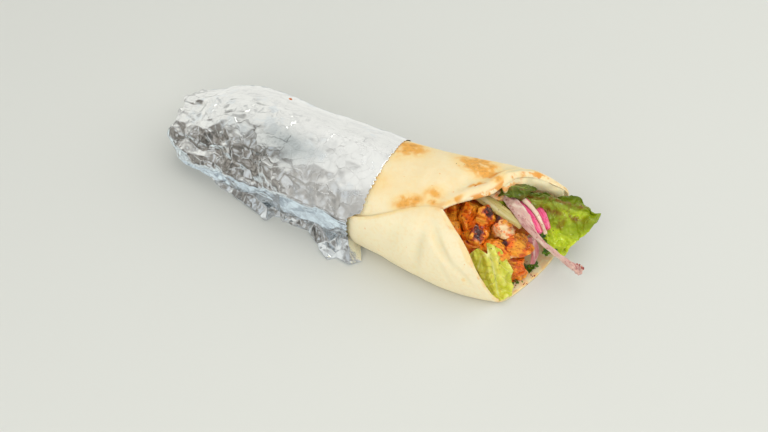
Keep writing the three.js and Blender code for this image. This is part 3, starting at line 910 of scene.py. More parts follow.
def rollSections():
    # distances from the roll's middle line out to the foil's inside wall, by place along X and angle
    tree = treeOf(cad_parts["foil_wrapper"])
    breadLow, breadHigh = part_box("flatbread")
    middle = Vector((0, (breadLow.y + breadHigh.y) / 2, 0.45 * foilHigh.z))
    stations = np.linspace(foilLow.x + 7 * mm, rimX - 10 * mm, 44)
    angles = np.radians(np.arange(0, 360, 3))
    reach = np.zeros((len(stations), len(angles)))
    for i, x in enumerate(stations):
        for j, angle in enumerate(angles):
            start = Vector((x, middle.y, middle.z))
            hit = tree.ray_cast(start, Vector((0, math.cos(angle), math.sin(angle))))
            reach[i, j] = hit[3] if hit[3] else 0
    for j in range(len(angles)):
        known = reach[:, j] > 0
        reach[:, j] = np.interp(stations, stations[known], reach[known, j])
    for _ in range(3):
        reach = (np.roll(reach, 1, axis=1) + 2 * reach + np.roll(reach, -1, axis=1)) / 4
        padded = np.pad(reach, ((1, 1), (0, 0)), mode="edge")
        reach = (padded[:-2] + 2 * reach + padded[2:]) / 4
    return middle, stations, angles, reach


def reachAt(stations, angles, reach, x, angle):
    # the sections read between their stations, with the last taper kept on past them
    row = np.clip((x - stations[0]) / (stations[1] - stations[0]), 0, len(stations) - 1.001)
    column = (angle / (angles[1] - angles[0])) % len(angles)
    i, j = row.astype(int), column.astype(int)
    s, t = row - i, column - j
    k = (j + 1) % len(angles)
    before = (1 - t) * reach[i, j] + t * reach[i, k]
    after = (1 - t) * reach[i + 1, j] + t * reach[i + 1, k]
    beyond = np.maximum(stations[0] - x, 0) / (12 * mm)
    return ((1 - s) * before + s * after) * (1 - 0.10 * beyond)


def makeFoilFinish():
    material, tree, shader, place = newFinish("foil", **{"Specular IOR Level": 0.5})
    look = foilLook
    dull = layerOf(tree, "dull")
    # painted bluish reflection in patches and on the band below the crease
    cool = times(tree, mottle(tree, place, 45.0, 0.56, 0.66), 0.5)
    cool = calculate(tree, "MAXIMUM", cool, layerOf(tree, "cool"))
    # painted darker reflection halfway along the slope
    tint = layered(tree, look["bright"], (cool, look["cool"]), (layerOf(tree, "shaded"), look["shadeGrey"]))
    tree.links.new(tint, shader.inputs["Base Color"])
    rough = between(tree, mottle(tree, place, 90.0, 0.35, 0.7), *look["roughness"])
    rough = plus(tree, rough, times(tree, dull, look["dullRoughness"]))
    tree.links.new(rough, shader.inputs["Roughness"])
    tree.links.new(between(tree, dull, *look["metal"]), shader.inputs["Metallic"])
    # flat facets, each tilted its own way, and broken thin ridges between them, on a slightly bent place
    middle = (0.5, 0.5, 0.5)
    bend = vectorMath(tree, "SUBTRACT", noiseOf(tree, place, 60.0, 2.0, "Color"), middle)
    bend = vectorMath(tree, "MULTIPLY", bend, (look["bend"],) * 3)
    cells = {"Vector": vectorMath(tree, "ADD", place, bend), "Scale": look["facetScale"]}
    edges = addNode(tree, "ShaderNodeTexVoronoi", cells, feature="DISTANCE_TO_EDGE").outputs["Distance"]
    ridges = remap(tree, edges, 0.0, 0.08, look["ridge"], 0.0)
    ridges = times(tree, ridges, mottle(tree, place, 70.0, 0.48, 0.60))
    facet = addNode(tree, "ShaderNodeTexVoronoi", cells).outputs
    away = vectorMath(tree, "SUBTRACT", cells["Vector"], facet["Position"])
    tilt = vectorMath(tree, "SUBTRACT", facet["Color"], middle)
    slope = vectorMath(tree, "DOT_PRODUCT", away, tilt, "Value")
    facets = plus(tree, times(tree, slope, look["facetTilt"]), ridges)
    facets = times(tree, facets, layerOf(tree, "crumpled"))
    fine = times(tree, noiseOf(tree, place, 900.0, 3.0), 0.15)
    creases = times(tree, plus(tree, fine, noiseOf(tree, place, 260.0, 5.0)), look["fineHeight"])
    bumpFrom(tree, shader, plus(tree, creases, facets), 1.0)
    return material


def reachOfLine(start, end, middle, angles):
    # how far out from the roll's middle line each angle meets a straight line across the section
    across, up = end[0] - start[0], end[1] - start[1]
    scale = np.cos(angles) * up - np.sin(angles) * across
    offset = (start[0] - middle.y) * up - (start[1] - middle.z) * across
    return offset / np.where(scale == 0, 1, scale)


def layBand(middle, reach, stations, angles):
    # the long crease stands out, with a straight slope above it and a straight drop to the floor below it
    shares = (stations - foilLow.x) / (rimX - foilLow.x)
    order = np.arange(len(angles))
    near = (angles > math.radians(100)) & (angles < math.radians(262))
    creaseAngles = []
    for i, share in enumerate(shares):
        y = middle.y + reach[i] * np.cos(angles)
        z = middle.z + reach[i] * np.sin(angles)
        wantedZ = np.interp(share, *zip(*foilCrease)) * foilHigh.z
        top = np.argmin(np.where(near, np.abs(z - wantedZ), np.inf))
        foot = np.argmin(np.where(near & (z < 4 * mm), y, np.inf))
        creaseAngles.append(math.degrees(angles[top]))
        out = mix(creaseOut["tail"], creaseOut["rim"], smoothStep(0.1, 0.9, share))
        widest = y[near].min()
        crease = (mix(widest, y[top], smoothStep(0.4, 0.9, share)) - out, z[top])
        drop = reachOfLine(crease, (y[foot] - 1 * mm, 0), middle, angles)
        within = near & (order >= top) & (z > -1) & (drop > reach[i])
        reach[i] = np.where(within & (middle.z + drop * np.sin(angles) >= -0.2 * mm), drop, reach[i])
        # the slope touches the roll where it is seen steepest from the crease
        above = (angles > math.radians(92)) & (order < top)
        touch = np.argmax(np.where(above, np.arctan2(z - crease[1], y - crease[0]), -np.inf))
        slope = reachOfLine(crease, (y[touch], z[touch]), middle, angles)
        reach[i] = np.where((order >= touch) & (order < top) & (slope > reach[i]), slope, reach[i])
    return reach, creaseAngles


def foilColumns(ring, angles):
    # columns spaced evenly along the section from the underside round, and closer where the foil shows
    turn = np.append(angles, angles[0] + 2 * math.pi)
    closed = np.append(ring, ring[0])
    steps = np.hypot(np.diff(closed * np.cos(turn)), np.diff(closed * np.sin(turn)))
    travelled = np.append(0, np.cumsum(steps))
    girth = travelled[-1]
    start = np.interp(math.radians(270), turn, travelled)
    fine = np.linspace(0, girth, 2000)
    degrees = np.degrees(np.interp((fine + start) % girth, travelled, turn)) % 360
    density = (foilShape["shownShare"] - 1) * smoothStep(40, 70, degrees)
    density = 1 + density * (1 - smoothStep(215, 235, degrees))
    filled = np.append(0, np.cumsum((density[1:] + density[:-1]) / 2))
    across = np.interp(np.linspace(0, filled[-1], foilShape["columns"] + 1), filled, fine)
    return across, np.interp((across + start) % girth, travelled, turn)


def foilTeeth(across):
    # short uneven teeth along the foil's rim
    spread = np.random.default_rng(12)
    tooth = np.abs(((across / foilShape["toothWidth"] + 0.4 * np.sin(across / (7 * mm))) % 1) - 0.5) * 2
    tooth = tooth * (0.3 + 0.7 * np.abs(np.sin(across / (9 * mm))))
    tooth = foilShape["rimTeeth"] * (tooth + spread.uniform(-0.4, 0.4, len(across)))
    tooth[-1] = tooth[0]
    return tooth


def foilEnd(last, middle):
    # the flat end, drawn in ring by ring
    shape = foilShape
    centre = np.array([shape["endMiddle"] + 1.5 * mm, middle.y, middle.z])
    rings = []
    for k in range(1, shape["endRows"] + 1):
        inward = k / shape["endRows"]
        ring = mix(last, centre, inward * 0.985)
        dent = facetHeights(ring[:, 1][None, :], ring[:, 2][None, :], 9 * mm, 1.0, 30)[0]
        ring[:, 0] = mix(last[:, 0], centre[0], smoothStep(0, 0.5, inward))
        ring[:, 0] += (dent - 0.2) * shape["endDents"] * smoothStep(0, 0.3, inward)
        rings.append(ring)
    return np.array(rings)


def makeFoil():
    shape = foilShape
    middle, stations, angles, reach = rollSections()
    reach, creaseAngles = layBand(middle, reach, stations, angles)
    across, angle = foilColumns(reach[len(stations) // 2], angles)
    degrees = np.degrees(angle) % 360

    # the tube, closed in and pinched at its tail
    near = smoothStep(158, 170, degrees) * (1 - smoothStep(220, 300, degrees))
    rim = rimX - shape["rimBack"] * near + foilTeeth(across)
    corners = bell(degrees, 88, 20) + 0.4 * bell(degrees, 135, 14) + bell(degrees, 190, 18)
    end = shape["endMiddle"] - shape["endCorner"] * corners
    x = mix(rim[None, :], end[None, :], np.linspace(0, 1, shape["rows"] + 1)[:, None])
    angle, degrees, across = (np.broadcast_to(values, x.shape) for values in (angle, degrees, across))
    radius = reachAt(stations, angles, reach, x, angle) + shape["standOff"]
    radius = radius * (1 - (1 - smoothStep(0, shape["closingReach"], x - end)) * shape["closing"])
    pinch = bell(degrees, 88, 16) + bell(degrees, 190, 14)
    pinch = (1 - smoothStep(0, shape["pinchReach"], x - end)) * pinch
    radius = radius + shape["pinch"] * pinch
    grid = np.stack([x, middle.y + radius * np.cos(angle), middle.z + radius * np.sin(angle)], axis=2)
    normal = gridNormals(grid, closed=True)
    out = np.stack([np.zeros_like(x), np.cos(angle), np.sin(angle)], axis=2)
    normal *= np.sign((normal * out).sum(axis=2, keepdims=True))

    # how strongly each part is crumpled
    share = np.clip((x - foilLow.x) / (rimX - foilLow.x), 0, 1)
    tail = 1 - smoothStep(foilLow.x + 6 * mm, foilLow.x + 42 * mm, x)
    side = smoothStep(60 + 12 * share, 78 + 14 * share, degrees) * (1 - smoothStep(226, 250, degrees))
    farSide = (1 - smoothStep(20, 60, degrees)) + smoothStep(300, 330, degrees)
    belowCrease = smoothStep(-1, 3, degrees - np.interp(x, stations, creaseAngles)) * (degrees < 262)
    calm = 1 - 0.25 * smoothStep(0.45, 0.75, share)
    pressed = 1 - 0.65 * smoothStep(rimX - 16 * mm, rimX - 2 * mm, x)
    underside = smoothStep(236, 256, degrees) * (1 - smoothStep(288, 306, degrees))
    strength = np.maximum(0.05 + 0.95 * side * calm, np.maximum(0.8 * tail, 0.5 * farSide))
    strength = strength * (1 - 0.84 * belowCrease) * pressed * (1 - underside)
    rise = np.zeros_like(x)
    for crumple in foilCrumples:
        heightsOf = crumpleKinds[crumple["kind"]]
        heights = heightsOf(x, across, crumple["width"], crumple["stretch"], crumple["seed"])
        amount = strength + crumple.get("tail", 0) * tail * (1 - underside)
        rise += crumple["height"] * (heights - 0.40) * amount
    rise = np.where(rise < 0, -shape["deepest"] * np.tanh(-rise / shape["deepest"]), rise)
    # long shallow wrinkles on the smooth top, and broad flats on the straight band
    wrinkles = facetHeights(x + 0.5 * across, across, 9 * mm, 2.8, 9)
    rise += shape["wrinkles"] * wrinkles * (1 - strength) * (1 - underside) * pressed
    flats = facetHeights(x + 0.6 * across, across, 5.5 * mm, 1.8, 15)
    rise += shape["flats"] * flats * belowCrease * pressed
    rise[:, -1] = rise[:, 0]
    grid = grid + normal * rise[:, :, None]
    grid[:, -1] = grid[:, 0]

    grid = np.concatenate([grid, foilEnd(grid[-1], middle)])
    grid[:, :, 2] = np.maximum(grid[:, :, 2], shape["lowest"])
    grid[:, :, 0] = np.maximum(grid[:, :, 0], foilLow.x - shape["furthestOut"])
    foil = sheetFrom("foil_sheet", grid)
    # a painted darker reflection halfway along the slope
    shaded = bell(share, 0.55, 0.20) * bell(degrees, 125, 20) * (1 - belowCrease)
    shaded = shaded * (0.35 + 0.9 * facetHeights(x + 0.4 * across, across, 12 * mm, 1.3, 31))
    # what the finish reads, on the tube and on its flat end
    layers = {
        # painted bluish reflection on the band below the crease
        "cool": (0.7 * belowCrease, 0),
        "crumpled": (0.12 + 0.88 * strength, 1),
        "dull": (smoothStep(0.45, 0.75, share) * side * (1 - belowCrease), 0),
        "shaded": (shaded, 0),
    }
    for name, (values, endValue) in layers.items():
        onEnd = np.full((shape["endRows"], grid.shape[1]), endValue)
        paint(foil, name, np.concatenate([values, onEnd]))
    inEditMode(foil, weld)
    closeEnd(foil, foilLow.x + 20 * mm)
    inEditMode(foil, faceOutwards)
    thicken(foil, shape["thickness"], -1)
    finishPiece(foil, foilFinish, ["foil_wrapper"])


def closeEnd(piece, before):
    # fills the small hole left at the middle of the end
    makeActive(piece)
    bpy.ops.object.mode_set(mode="EDIT")
    bpy.ops.mesh.select_all(action="DESELECT")
    bpy.ops.mesh.select_mode(type="EDGE")
    bpy.ops.mesh.select_non_manifold(extend=False, use_wire=False, use_boundary=True, use_multi_face=False,
                                     use_non_contiguous=False, use_verts=False)
    bpy.ops.object.mode_set(mode="OBJECT")
    for edge in piece.data.edges:
        if edge.select and piece.data.vertices[edge.vertices[0]].co.x > before:
            edge.select = False
    for vertex in piece.data.vertices:
        if vertex.co.x > before:
            vertex.select = False
    bpy.ops.object.mode_set(mode="EDIT")
    bpy.ops.mesh.fill()
    bpy.ops.mesh.select_mode(type="VERT")
    bpy.ops.object.mode_set(mode="OBJECT")


# the crushed edge of the foil along the floor
skirtShape = {
    "rows": 240,
    "columns": 26,
    "start": foilLow.x + 28 * mm,
    "end": foilHigh.x - 8 * mm,
    "tucked": 1.6 * mm,
    "reach": 4.5 * mm,
    "rise": 4.5 * mm,
    "facets": 3.4 * mm,
    "small": 1.1 * mm,
    "wave": 2.4 * mm,
    "shift": 1.5 * mm,
    "lowest": 0.3 * mm,
    "thickness": 0.2 * mm,
}

# its two ears, spine by spine: how far back from the rim it starts, how far it reaches out, how far it leans
# towards the mouth, and its heights at the roll, halfway and at its tip, all in millimetres
foilEars = {
    "foil_ear_1": {
        "spines": [(120, 4, 0, (3, 4, 1)), (108, 9, 3, (1.5, 7, 1)), (95, 11, 5, (0.8, 8, 1)),
                   (83, 14, 6, (0.6, 5, 0.8)), (73, 4, 0, (0.5, 2, 0.6))],
        "along": 80, "across": 40, "crumple": [(6 * mm, 3.0 * mm), (2.6 * mm, 0.8 * mm)], "seed": 71,
        "flatFrom": 2,
    },
    "foil_ear_2": {
        "spines": [(50, 5, 2, (5, 6, 1)), (41, 13, 3, (9, 9, 1)), (31, 22, 7, (6, 4, 1)),
                   (26, 17, 7, (8, 3, 0.8)), (20, 18, 12, (10, 8, 1.5)), (9, 9, 6, (4, 3, 0.8))],
        "along": 110, "across": 64, "crumple": [(6.5 * mm, 4.0 * mm), (3 * mm, 1.0 * mm)], "seed": 81,
        "flatFrom": 0.56,
    },
}


def footLine(x):
    # where the roll's near side meets the floor
    tree = treeOf(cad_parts["flatbread"])
    places = []
    for value in np.clip(x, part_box("flatbread")[0].x + 2 * mm, None):
        hit = tree.ray_cast(Vector((value, -0.2, 3.2 * mm)), Vector((0, 1, 0)))
        places.append(hit[0].y if hit[0] else np.nan)
    places = np.array(places)
    known = ~np.isnan(places)
    return np.interp(x, x[known], places[known])


def makeSkirt():
    shape = skirtShape
    x = np.linspace(shape["start"], shape["end"], shape["rows"] + 1)
    root = footLine(x) - shape["tucked"]
    taper = smoothStep(shape["start"] - 2 * mm, shape["start"] + 18 * mm, x)
    taper = taper * (1 - smoothStep(shape["end"] - 6 * mm, shape["end"] + 4 * mm, x))
    reach = 1 * mm + taper * shape["reach"]
    v = np.linspace(0, 1, shape["columns"] + 1)[None, :]
    wideX = np.broadcast_to(x[:, None], (len(x), v.shape[1]))
    outward = reach[:, None] * v
    facets = facetHeights(wideX, outward * 1.2 + 0.3 * wideX, 5 * mm, 1.3, 41) - 0.4
    small = facetHeights(wideX, outward, 2.4 * mm, 1.2, 42) - 0.5
    wave = facetHeights(wideX, np.zeros_like(wideX), 5 * mm, 1.0, 43) - 0.5
    height = shape["rise"] * (1 - v) ** 1.2 * (0.6 + 0.4 * taper[:, None])
    crumples = shape["facets"] * facets + shape["small"] * small
    height += crumples * np.minimum(1, 3 * v) * taper[:, None]
    y = root[:, None] - outward + shape["wave"] * wave * v
    grid = np.stack([wideX + shape["shift"] * small, y, np.maximum(height, shape["lowest"])], axis=2)
    skirt = sheetFrom("foil_skirt", grid)
    thicken(skirt, shape["thickness"], 1)
    # painted bluish reflection over the skirt
    paint(skirt, "cool", 0.4)
    paint(skirt, "crumpled", 1)
    finishPiece(skirt, foilFinish)


def makeEar(name, ear):
    # straight folds between the spines, then crumples that fade where it is flat
    starts = foilHigh.x - np.array([spine[0] for spine in ear["spines"]]) * mm
    roots = footLine(starts) + 1.5 * mm
    lines = []
    for start, root, (_, reach, lean, heights) in zip(starts, roots, ear["spines"]):
        lines.append([(start + lean * mm * k / 2, root - (1.5 + reach) * mm * k / 2, heights[k] * mm)
                      for k in range(3)])
    lines = np.array(lines)
    u = np.linspace(0, len(lines) - 1, ear["along"])
    v = np.linspace(0, lines.shape[1] - 1, ear["across"])
    i, j = np.minimum(u.astype(int), len(lines) - 2), np.minimum(v.astype(int), lines.shape[1] - 2)
    s, t = (u - i)[:, None, None], (v - j)[None, :, None]
    grid = (1 - s) * ((1 - t) * lines[i][:, j] + t * lines[i][:, j + 1])
    grid = grid + s * ((1 - t) * lines[i + 1][:, j] + t * lines[i + 1][:, j + 1])
    normal = gridNormals(grid)
    normal *= np.sign(normal[:, :, 2:3] + 1e-9)
    share = (u / u[-1])[:, None]
    amount = 1 - 0.85 * smoothStep(ear["flatFrom"] - 0.05, ear["flatFrom"] + 0.05, share)
    for k, (width, height) in enumerate(ear["crumple"]):
        amount = amount * np.minimum(1, 5 * (v / v[-1])[None, :])
        facets = facetHeights(grid[:, :, 0], grid[:, :, 1], width, 1.0, ear["seed"] + k) - 0.4
        grid = grid + normal * (height * facets * amount)[:, :, None]
    grid[:, :, 2] = np.maximum(grid[:, :, 2], skirtShape["lowest"])
    piece = sheetFrom(name, grid)
    thicken(piece, skirtShape["thickness"], 1)
    # painted bluish reflection over the ear
    paint(piece, "cool", 0.6)
    paint(piece, "crumpled", 0.4)
    finishPiece(piece, foilFinish)


breadFinish = makeBreadFinish()
makeBread()
makePly()
foilFinish = makeFoilFinish()
makeFoil()
makeSkirt()
for earName, ear in foilEars.items():
    makeEar(earName, ear)


# chicken

chickenLook = {
    "orange": (1.00, 0.175, 0.007),
    "golden": (1.00, 0.43, 0.030),
    "red": (0.42, 0.024, 0.002),
    "char": (0.055, 0.014, 0.014),
    "pale": (0.97, 0.74, 0.42),
}

chunkShape = {
    "voxel": 0.5 * mm,
    "coreVoxel": 1.4 * mm,
    "swell": 1.7 * mm,
    "cuts": 9,
    "cutAt": 0.62,
    "lumps": 0.6 * mm,
    "lumpSize": 6 * mm,
    "tears": 1.1 * mm,
    "tearSize": 4.5 * mm,
    "fibres": 0.55 * mm,
    "fibreSize": 2.0 * mm,
    "bumps": 0.45 * mm,
    "bumpSize": 2.2 * mm,
}

# what shows on some of the chunks: shares of the chunk's own box and a radius in mm
chunkMarks = rowsOf(
    ("chunk", "kind", "at", "radius"),
    (2, "char", (0.3, 0.2, 0.9), 3.4),
    (3, "char", (0.70, 0.45, 0.95), 4.6),
    (4, "char", (0.72, 0.26, 0.95), 6.4),
    (4, "pale", (0.95, 0.15, 0.6), 3.4),
    (5, "char", (0.22, 0.45, 1.0), 4.0),
    (5, "pale", (0.6, 0.05, 0.6), 9.0),
    (6, "char", (0.20, 0.12, 0.9), 3.2),
    (6, "pale", (0.60, 0.00, 0.35), 3.0),
    (7, "pale", (0.3, 0.0, 0.9), 3.0),
    (9, "char", (0.6, 0.4, 1.0), 3.0),
    (10, "pale", (0.5, 0.3, 0.9), 8.0),
    (11, "char", (0.9, 0.6, 1.0), 2.6))


def makeChickenFinish():
    material, tree, shader, place = newFinish(
        "marinatedChicken", **{"Specular IOR Level": 0.4, "Subsurface Weight": 0.1, "Subsurface Scale": 0.002,
                               "Subsurface Radius": (1.0, 0.35, 0.15), "Coat Roughness": 0.10,
                               "Coat Weight": 0.8})
    look = chickenLook
    fine = noiseOf(tree, place, 700.0, 5.0)
    threads = noiseOf(tree, layerOf(tree, "grain", "Vector"), 1.0, 4.0)
    strands = times(tree, layerOf(tree, "strands"), threads)
    pale = times(tree, layerOf(tree, "pale"), remap(tree, noiseOf(tree, place, 260.0), 0.26, 0.52))
    patchy = remap(tree, noiseOf(tree, place, 420.0), 0.25, 0.55, 0.35, 1.0)
    char = times(tree, layerOf(tree, "char"), patchy)
    base = layered(
        tree, look["orange"],
        (mottle(tree, place, 130.0, 0.36, 0.60), look["golden"]),
        (times(tree, mottle(tree, place, 210.0, 0.48, 0.68), 0.5), look["red"]),
        # red marinade in the crevices, made deeper as painted shade
        (remap(tree, layerOf(tree, "crevice"), 0.05, 0.8, 0.0, 0.85), look["red"]),
        # red in the low fibre grooves: marinade and painted shade
        (remap(tree, threads, 0.46, 0.34, 0.0, 0.45), look["red"]),
        # painted highlight: golden on the fibre ridges
        (remap(tree, strands, 0.1, 0.35, 0.0, 0.7), look["golden"]),
        (pale, look["pale"]),
        (remap(tree, char, 0.04, 0.35, 0.0, 0.85), look["red"]),
        (remap(tree, char, 0.30, 0.85), look["char"]),
        (times(tree, specks(tree, place, 420.0, 0.32), 0.6), look["red"]))
    tree.links.new(base, shader.inputs["Base Color"])
    tree.links.new(between(tree, fine, 0.28, 0.62), shader.inputs["Roughness"])
    bumpFrom(tree, shader, plus(tree, threads, times(tree, fine, 0.5)), 0.6 * mm, 0.7)
    return material


def meatSurface(piece, node, seed, voxel, marks=(), swell=0.0, amount=1.0):
    shape = chunkShape
    applyModifier(piece, "REMESH", mode="VOXEL", voxel_size=voxel)
    points, normals = pointsOf(piece), normalsOf(piece)
    spread = np.random.default_rng(seed)
    points = points + normals * swell
    if swell:
        # flat cut sides
        middle = points.mean(axis=0)
        for _ in range(shape["cuts"]):
            facing = spread.normal(size=3)
            facing /= np.linalg.norm(facing)
            depth = (points - middle) @ facing
            over = depth - shape["cutAt"] * depth.max() * spread.uniform(0.9, 1.2)
            points = points - np.outer(0.9 * np.maximum(over, 0), facing)
        movePoints(piece, points)
        applyModifier(piece, "SMOOTH", factor=0.5, iterations=3)
        points, normals = pointsOf(piece), normalsOf(piece)
    lumps = softNoise(points, shape["lumpSize"], seed)
    turn = spread.uniform(-0.5, 0.7)
    grain = np.array([math.cos(turn), math.sin(turn), -0.25])
    grain /= np.linalg.norm(grain)
    squeezed = points - 0.86 * np.outer(points @ grain, grain)
    drawn = points - 0.6 * np.outer(points @ grain, grain)
    tears = 1 - smoothStep(0, 0.35, np.abs(softNoise(drawn, shape["tearSize"], seed + 3)))
    tears = tears * smoothStep(-0.1, 0.4, lumps)
    fibres = 0.6 - 2 * np.abs(softNoise(squeezed, shape["fibreSize"], seed + 5))
    bumps = softNoise(points, shape["bumpSize"], seed + 7)
    rise = amount * (shape["lumps"] * lumps - shape["tears"] * tears + shape["fibres"] * fibres
                     + shape["bumps"] * bumps)
    char = np.zeros(len(points))
    pale = np.zeros(len(points))
    for mark in marks:
        away = np.linalg.norm(points - inBox(node, mark["at"]), axis=1) / (mark["radius"] * mm)
        value = 1 - smoothStep(0.45, 1.25, away + 0.5 * softNoise(points, 2.2 * mm, seed + 9))
        if mark["kind"] == "char":
            char = np.maximum(char, value)
            rise += value * 0.4 * mm * softNoise(points, 1.2 * mm, seed + 13)
        else:
            pale = np.maximum(pale, value)
    movePoints(piece, points + normals * rise[:, None])
    # red marinade in the dips and tears, made deeper as painted shade
    dips = smoothStep(0.2, 1.1, -0.8 * lumps - 0.5 * bumps - 0.5 * fibres)
    paint(piece, "crevice", np.maximum(0.55 * tears, 0.7 * dips))
    paint(piece, "char", char)
    paint(piece, "pale", pale)
    # painted highlight on the fibre ridges, read as golden by the finish
    paint(piece, "strands", fibres)
    paintPlace(piece, "grain", squeezed / (1.1 * mm))


chickenFinish = makeChickenFinish()


def makeChicken():
    for i in range(1, 12):
        node = f"chicken_chunk_{i}"
        chunk = copyNode(node, f"chicken_piece_{i:02d}")
        marks = [mark for mark in chunkMarks if mark["chunk"] == i]
        meatSurface(chunk, node, 100 + i * 17, chunkShape["voxel"], marks, chunkShape["swell"])
        finishPiece(chunk, chickenFinish, [node])
    core = copyNode("chicken_filling", "chicken_core")
    meatSurface(core, "chicken_filling", 77, chunkShape["coreVoxel"], amount=0.8)
    finishPiece(core, chickenFinish, ["chicken_filling"])


makeChicken()


# lettuce

# rows of places across each leaf, from its base to its tip, in millimetres from the low corner of its node
greenLeaf = {
    "rows": [
        [(0, 12, 34), (3, 9, 37), (6, 4, 37), (9, -1, 35)],
        [(20, 15, 35), (22, 11, 33), (23, 5, 28), (24, -1, 23)],
        [(37, 24, 29), (39, 18, 30), (41, 10, 19), (42, 0, 12)],
        [(50, 31, 27), (54, 22, 23), (55, 11, 13), (54, 1, 1)],
        [(61, 29, 21), (69, 30, 20), (66, 16, 16), (58, 8, 8)],
    ],
    "along": 150, "across": 120, "thickness": 0.55 * mm,
    "ruffle": 1.8 * mm, "folds": 2.2 * mm, "creases": 1.3 * mm, "crinkle": 1.3 * mm, "crinkleSize": 5 * mm,
    "veins": 7, "rib": 0.36, "ragged": 1.6 * mm, "shadeFrom": (0.22, 0.62), "lobe": 0.85,
    "base": [(0, 0), (1, 0)],
}
# the part of the green leaf that folds over the onion's end
greenFold = {
    "rows": [
        [(6, 16, 37), (7, 6, 41), (8, -1, 39)],
        [(14, 18, 38), (16, 8, 43), (16, 0, 41)],
        [(26, 20, 34), (25, 12, 40), (23, 4, 36)],
    ],
    "along": 70, "across": 60, "thickness": 0.55 * mm,
    "ruffle": 1.2 * mm, "folds": 1.2 * mm, "crinkle": 0.6 * mm, "crinkleSize": 4 * mm, "creases": 0.6 * mm,
    "veins": 3, "rib": 0.5, "ragged": 1.4 * mm, "shadeFrom": (0.70, 3.00), "base": [(0, 0), (1, 0)],
}
paleLeaf = {
    "rows": [
        [(0, 12, 25), (9, 18, 31), (17, 23, 30)],
        [(8, 7, 18), (17, 13, 24), (25, 21, 22)],
        [(16, 2, 9), (24, 7, 13), (30, 18, 12)],
        [(22, 2, 2), (28, 5, 3), (33, 15, 3)],
        [(28, 0, 0), (33, 3, 0.5), (36, 9, 0.5)],
    ],
    "along": 100, "across": 80, "thickness": 0.6 * mm,
    "ruffle": 1.3 * mm, "folds": 1.6 * mm, "crinkle": 0.7 * mm, "crinkleSize": 4 * mm, "creases": 0.7 * mm,
    "veins": 5, "rib": 0.5, "ragged": 1.2 * mm, "shadeFrom": (-0.6, 0.4),
    "base": [(0, 0.09), (0.3, 0.07), (0.48, 0.20), (0.62, 0.03), (0.85, 0.08), (1, 0.16)],
}

lettuceLook = {
    "green": {"deep": (0.060, 0.090, 0.001), "mid": (0.50, 0.63, 0.012), "light": (0.72, 0.86, 0.05),
              "vein": (0.62, 0.72, 0.14), "sauce": (0.22, 0.07, 0.008), "veinShare": 0.25, "sauceShare": 0.8,
              "slot": "green_lettuce"},
    "pale": {"deep": (0.47, 0.48, 0.02), "mid": (0.76, 0.76, 0.09), "light": (0.92, 0.91, 0.28),
             "vein": (0.94, 0.93, 0.50), "sauce": (0.80, 0.60, 0.06), "veinShare": 0.5, "sauceShare": 0.4,
             "slot": "pale_lettuce"},
}


def makeLettuceFinish(kind):
    look = lettuceLook[kind]
    material, tree, shader, place = newFinish(
        kind + "Lettuce", **{"Specular IOR Level": 0.35, "Subsurface Weight": 0.15, "Subsurface Scale": 0.002,
                             "Subsurface Radius": (0.5, 1.0, 0.1), "Coat Roughness": 0.08,
                             "Coat Weight": 0.35})
    # painted light and shade take the leaf from deep through mid to light green
    shade = layerOf(tree, "shade")
    sauce = times(tree, layerOf(tree, "sauce"), mottle(tree, place, 260.0, 0.36, 0.58))
    base = layered(
        tree, look["deep"],
        (shade, look["mid"]),
        (times(tree, remap(tree, shade, 0.45, 1.0), mottle(tree, place, 120.0, 0.35, 0.65)), look["light"]),
        (times(tree, layerOf(tree, "vein"), look["veinShare"]), look["vein"]),
        (times(tree, sauce, look["sauceShare"]), look["sauce"]))
    tree.links.new(base, shader.inputs["Base Color"])
    fine = noiseOf(tree, place, 380.0, 5.0)
    tree.links.new(between(tree, fine, 0.22, 0.45), shader.inputs["Roughness"])
    bumpFrom(tree, shader, fine, 0.4 * mm, 0.5)
    return material


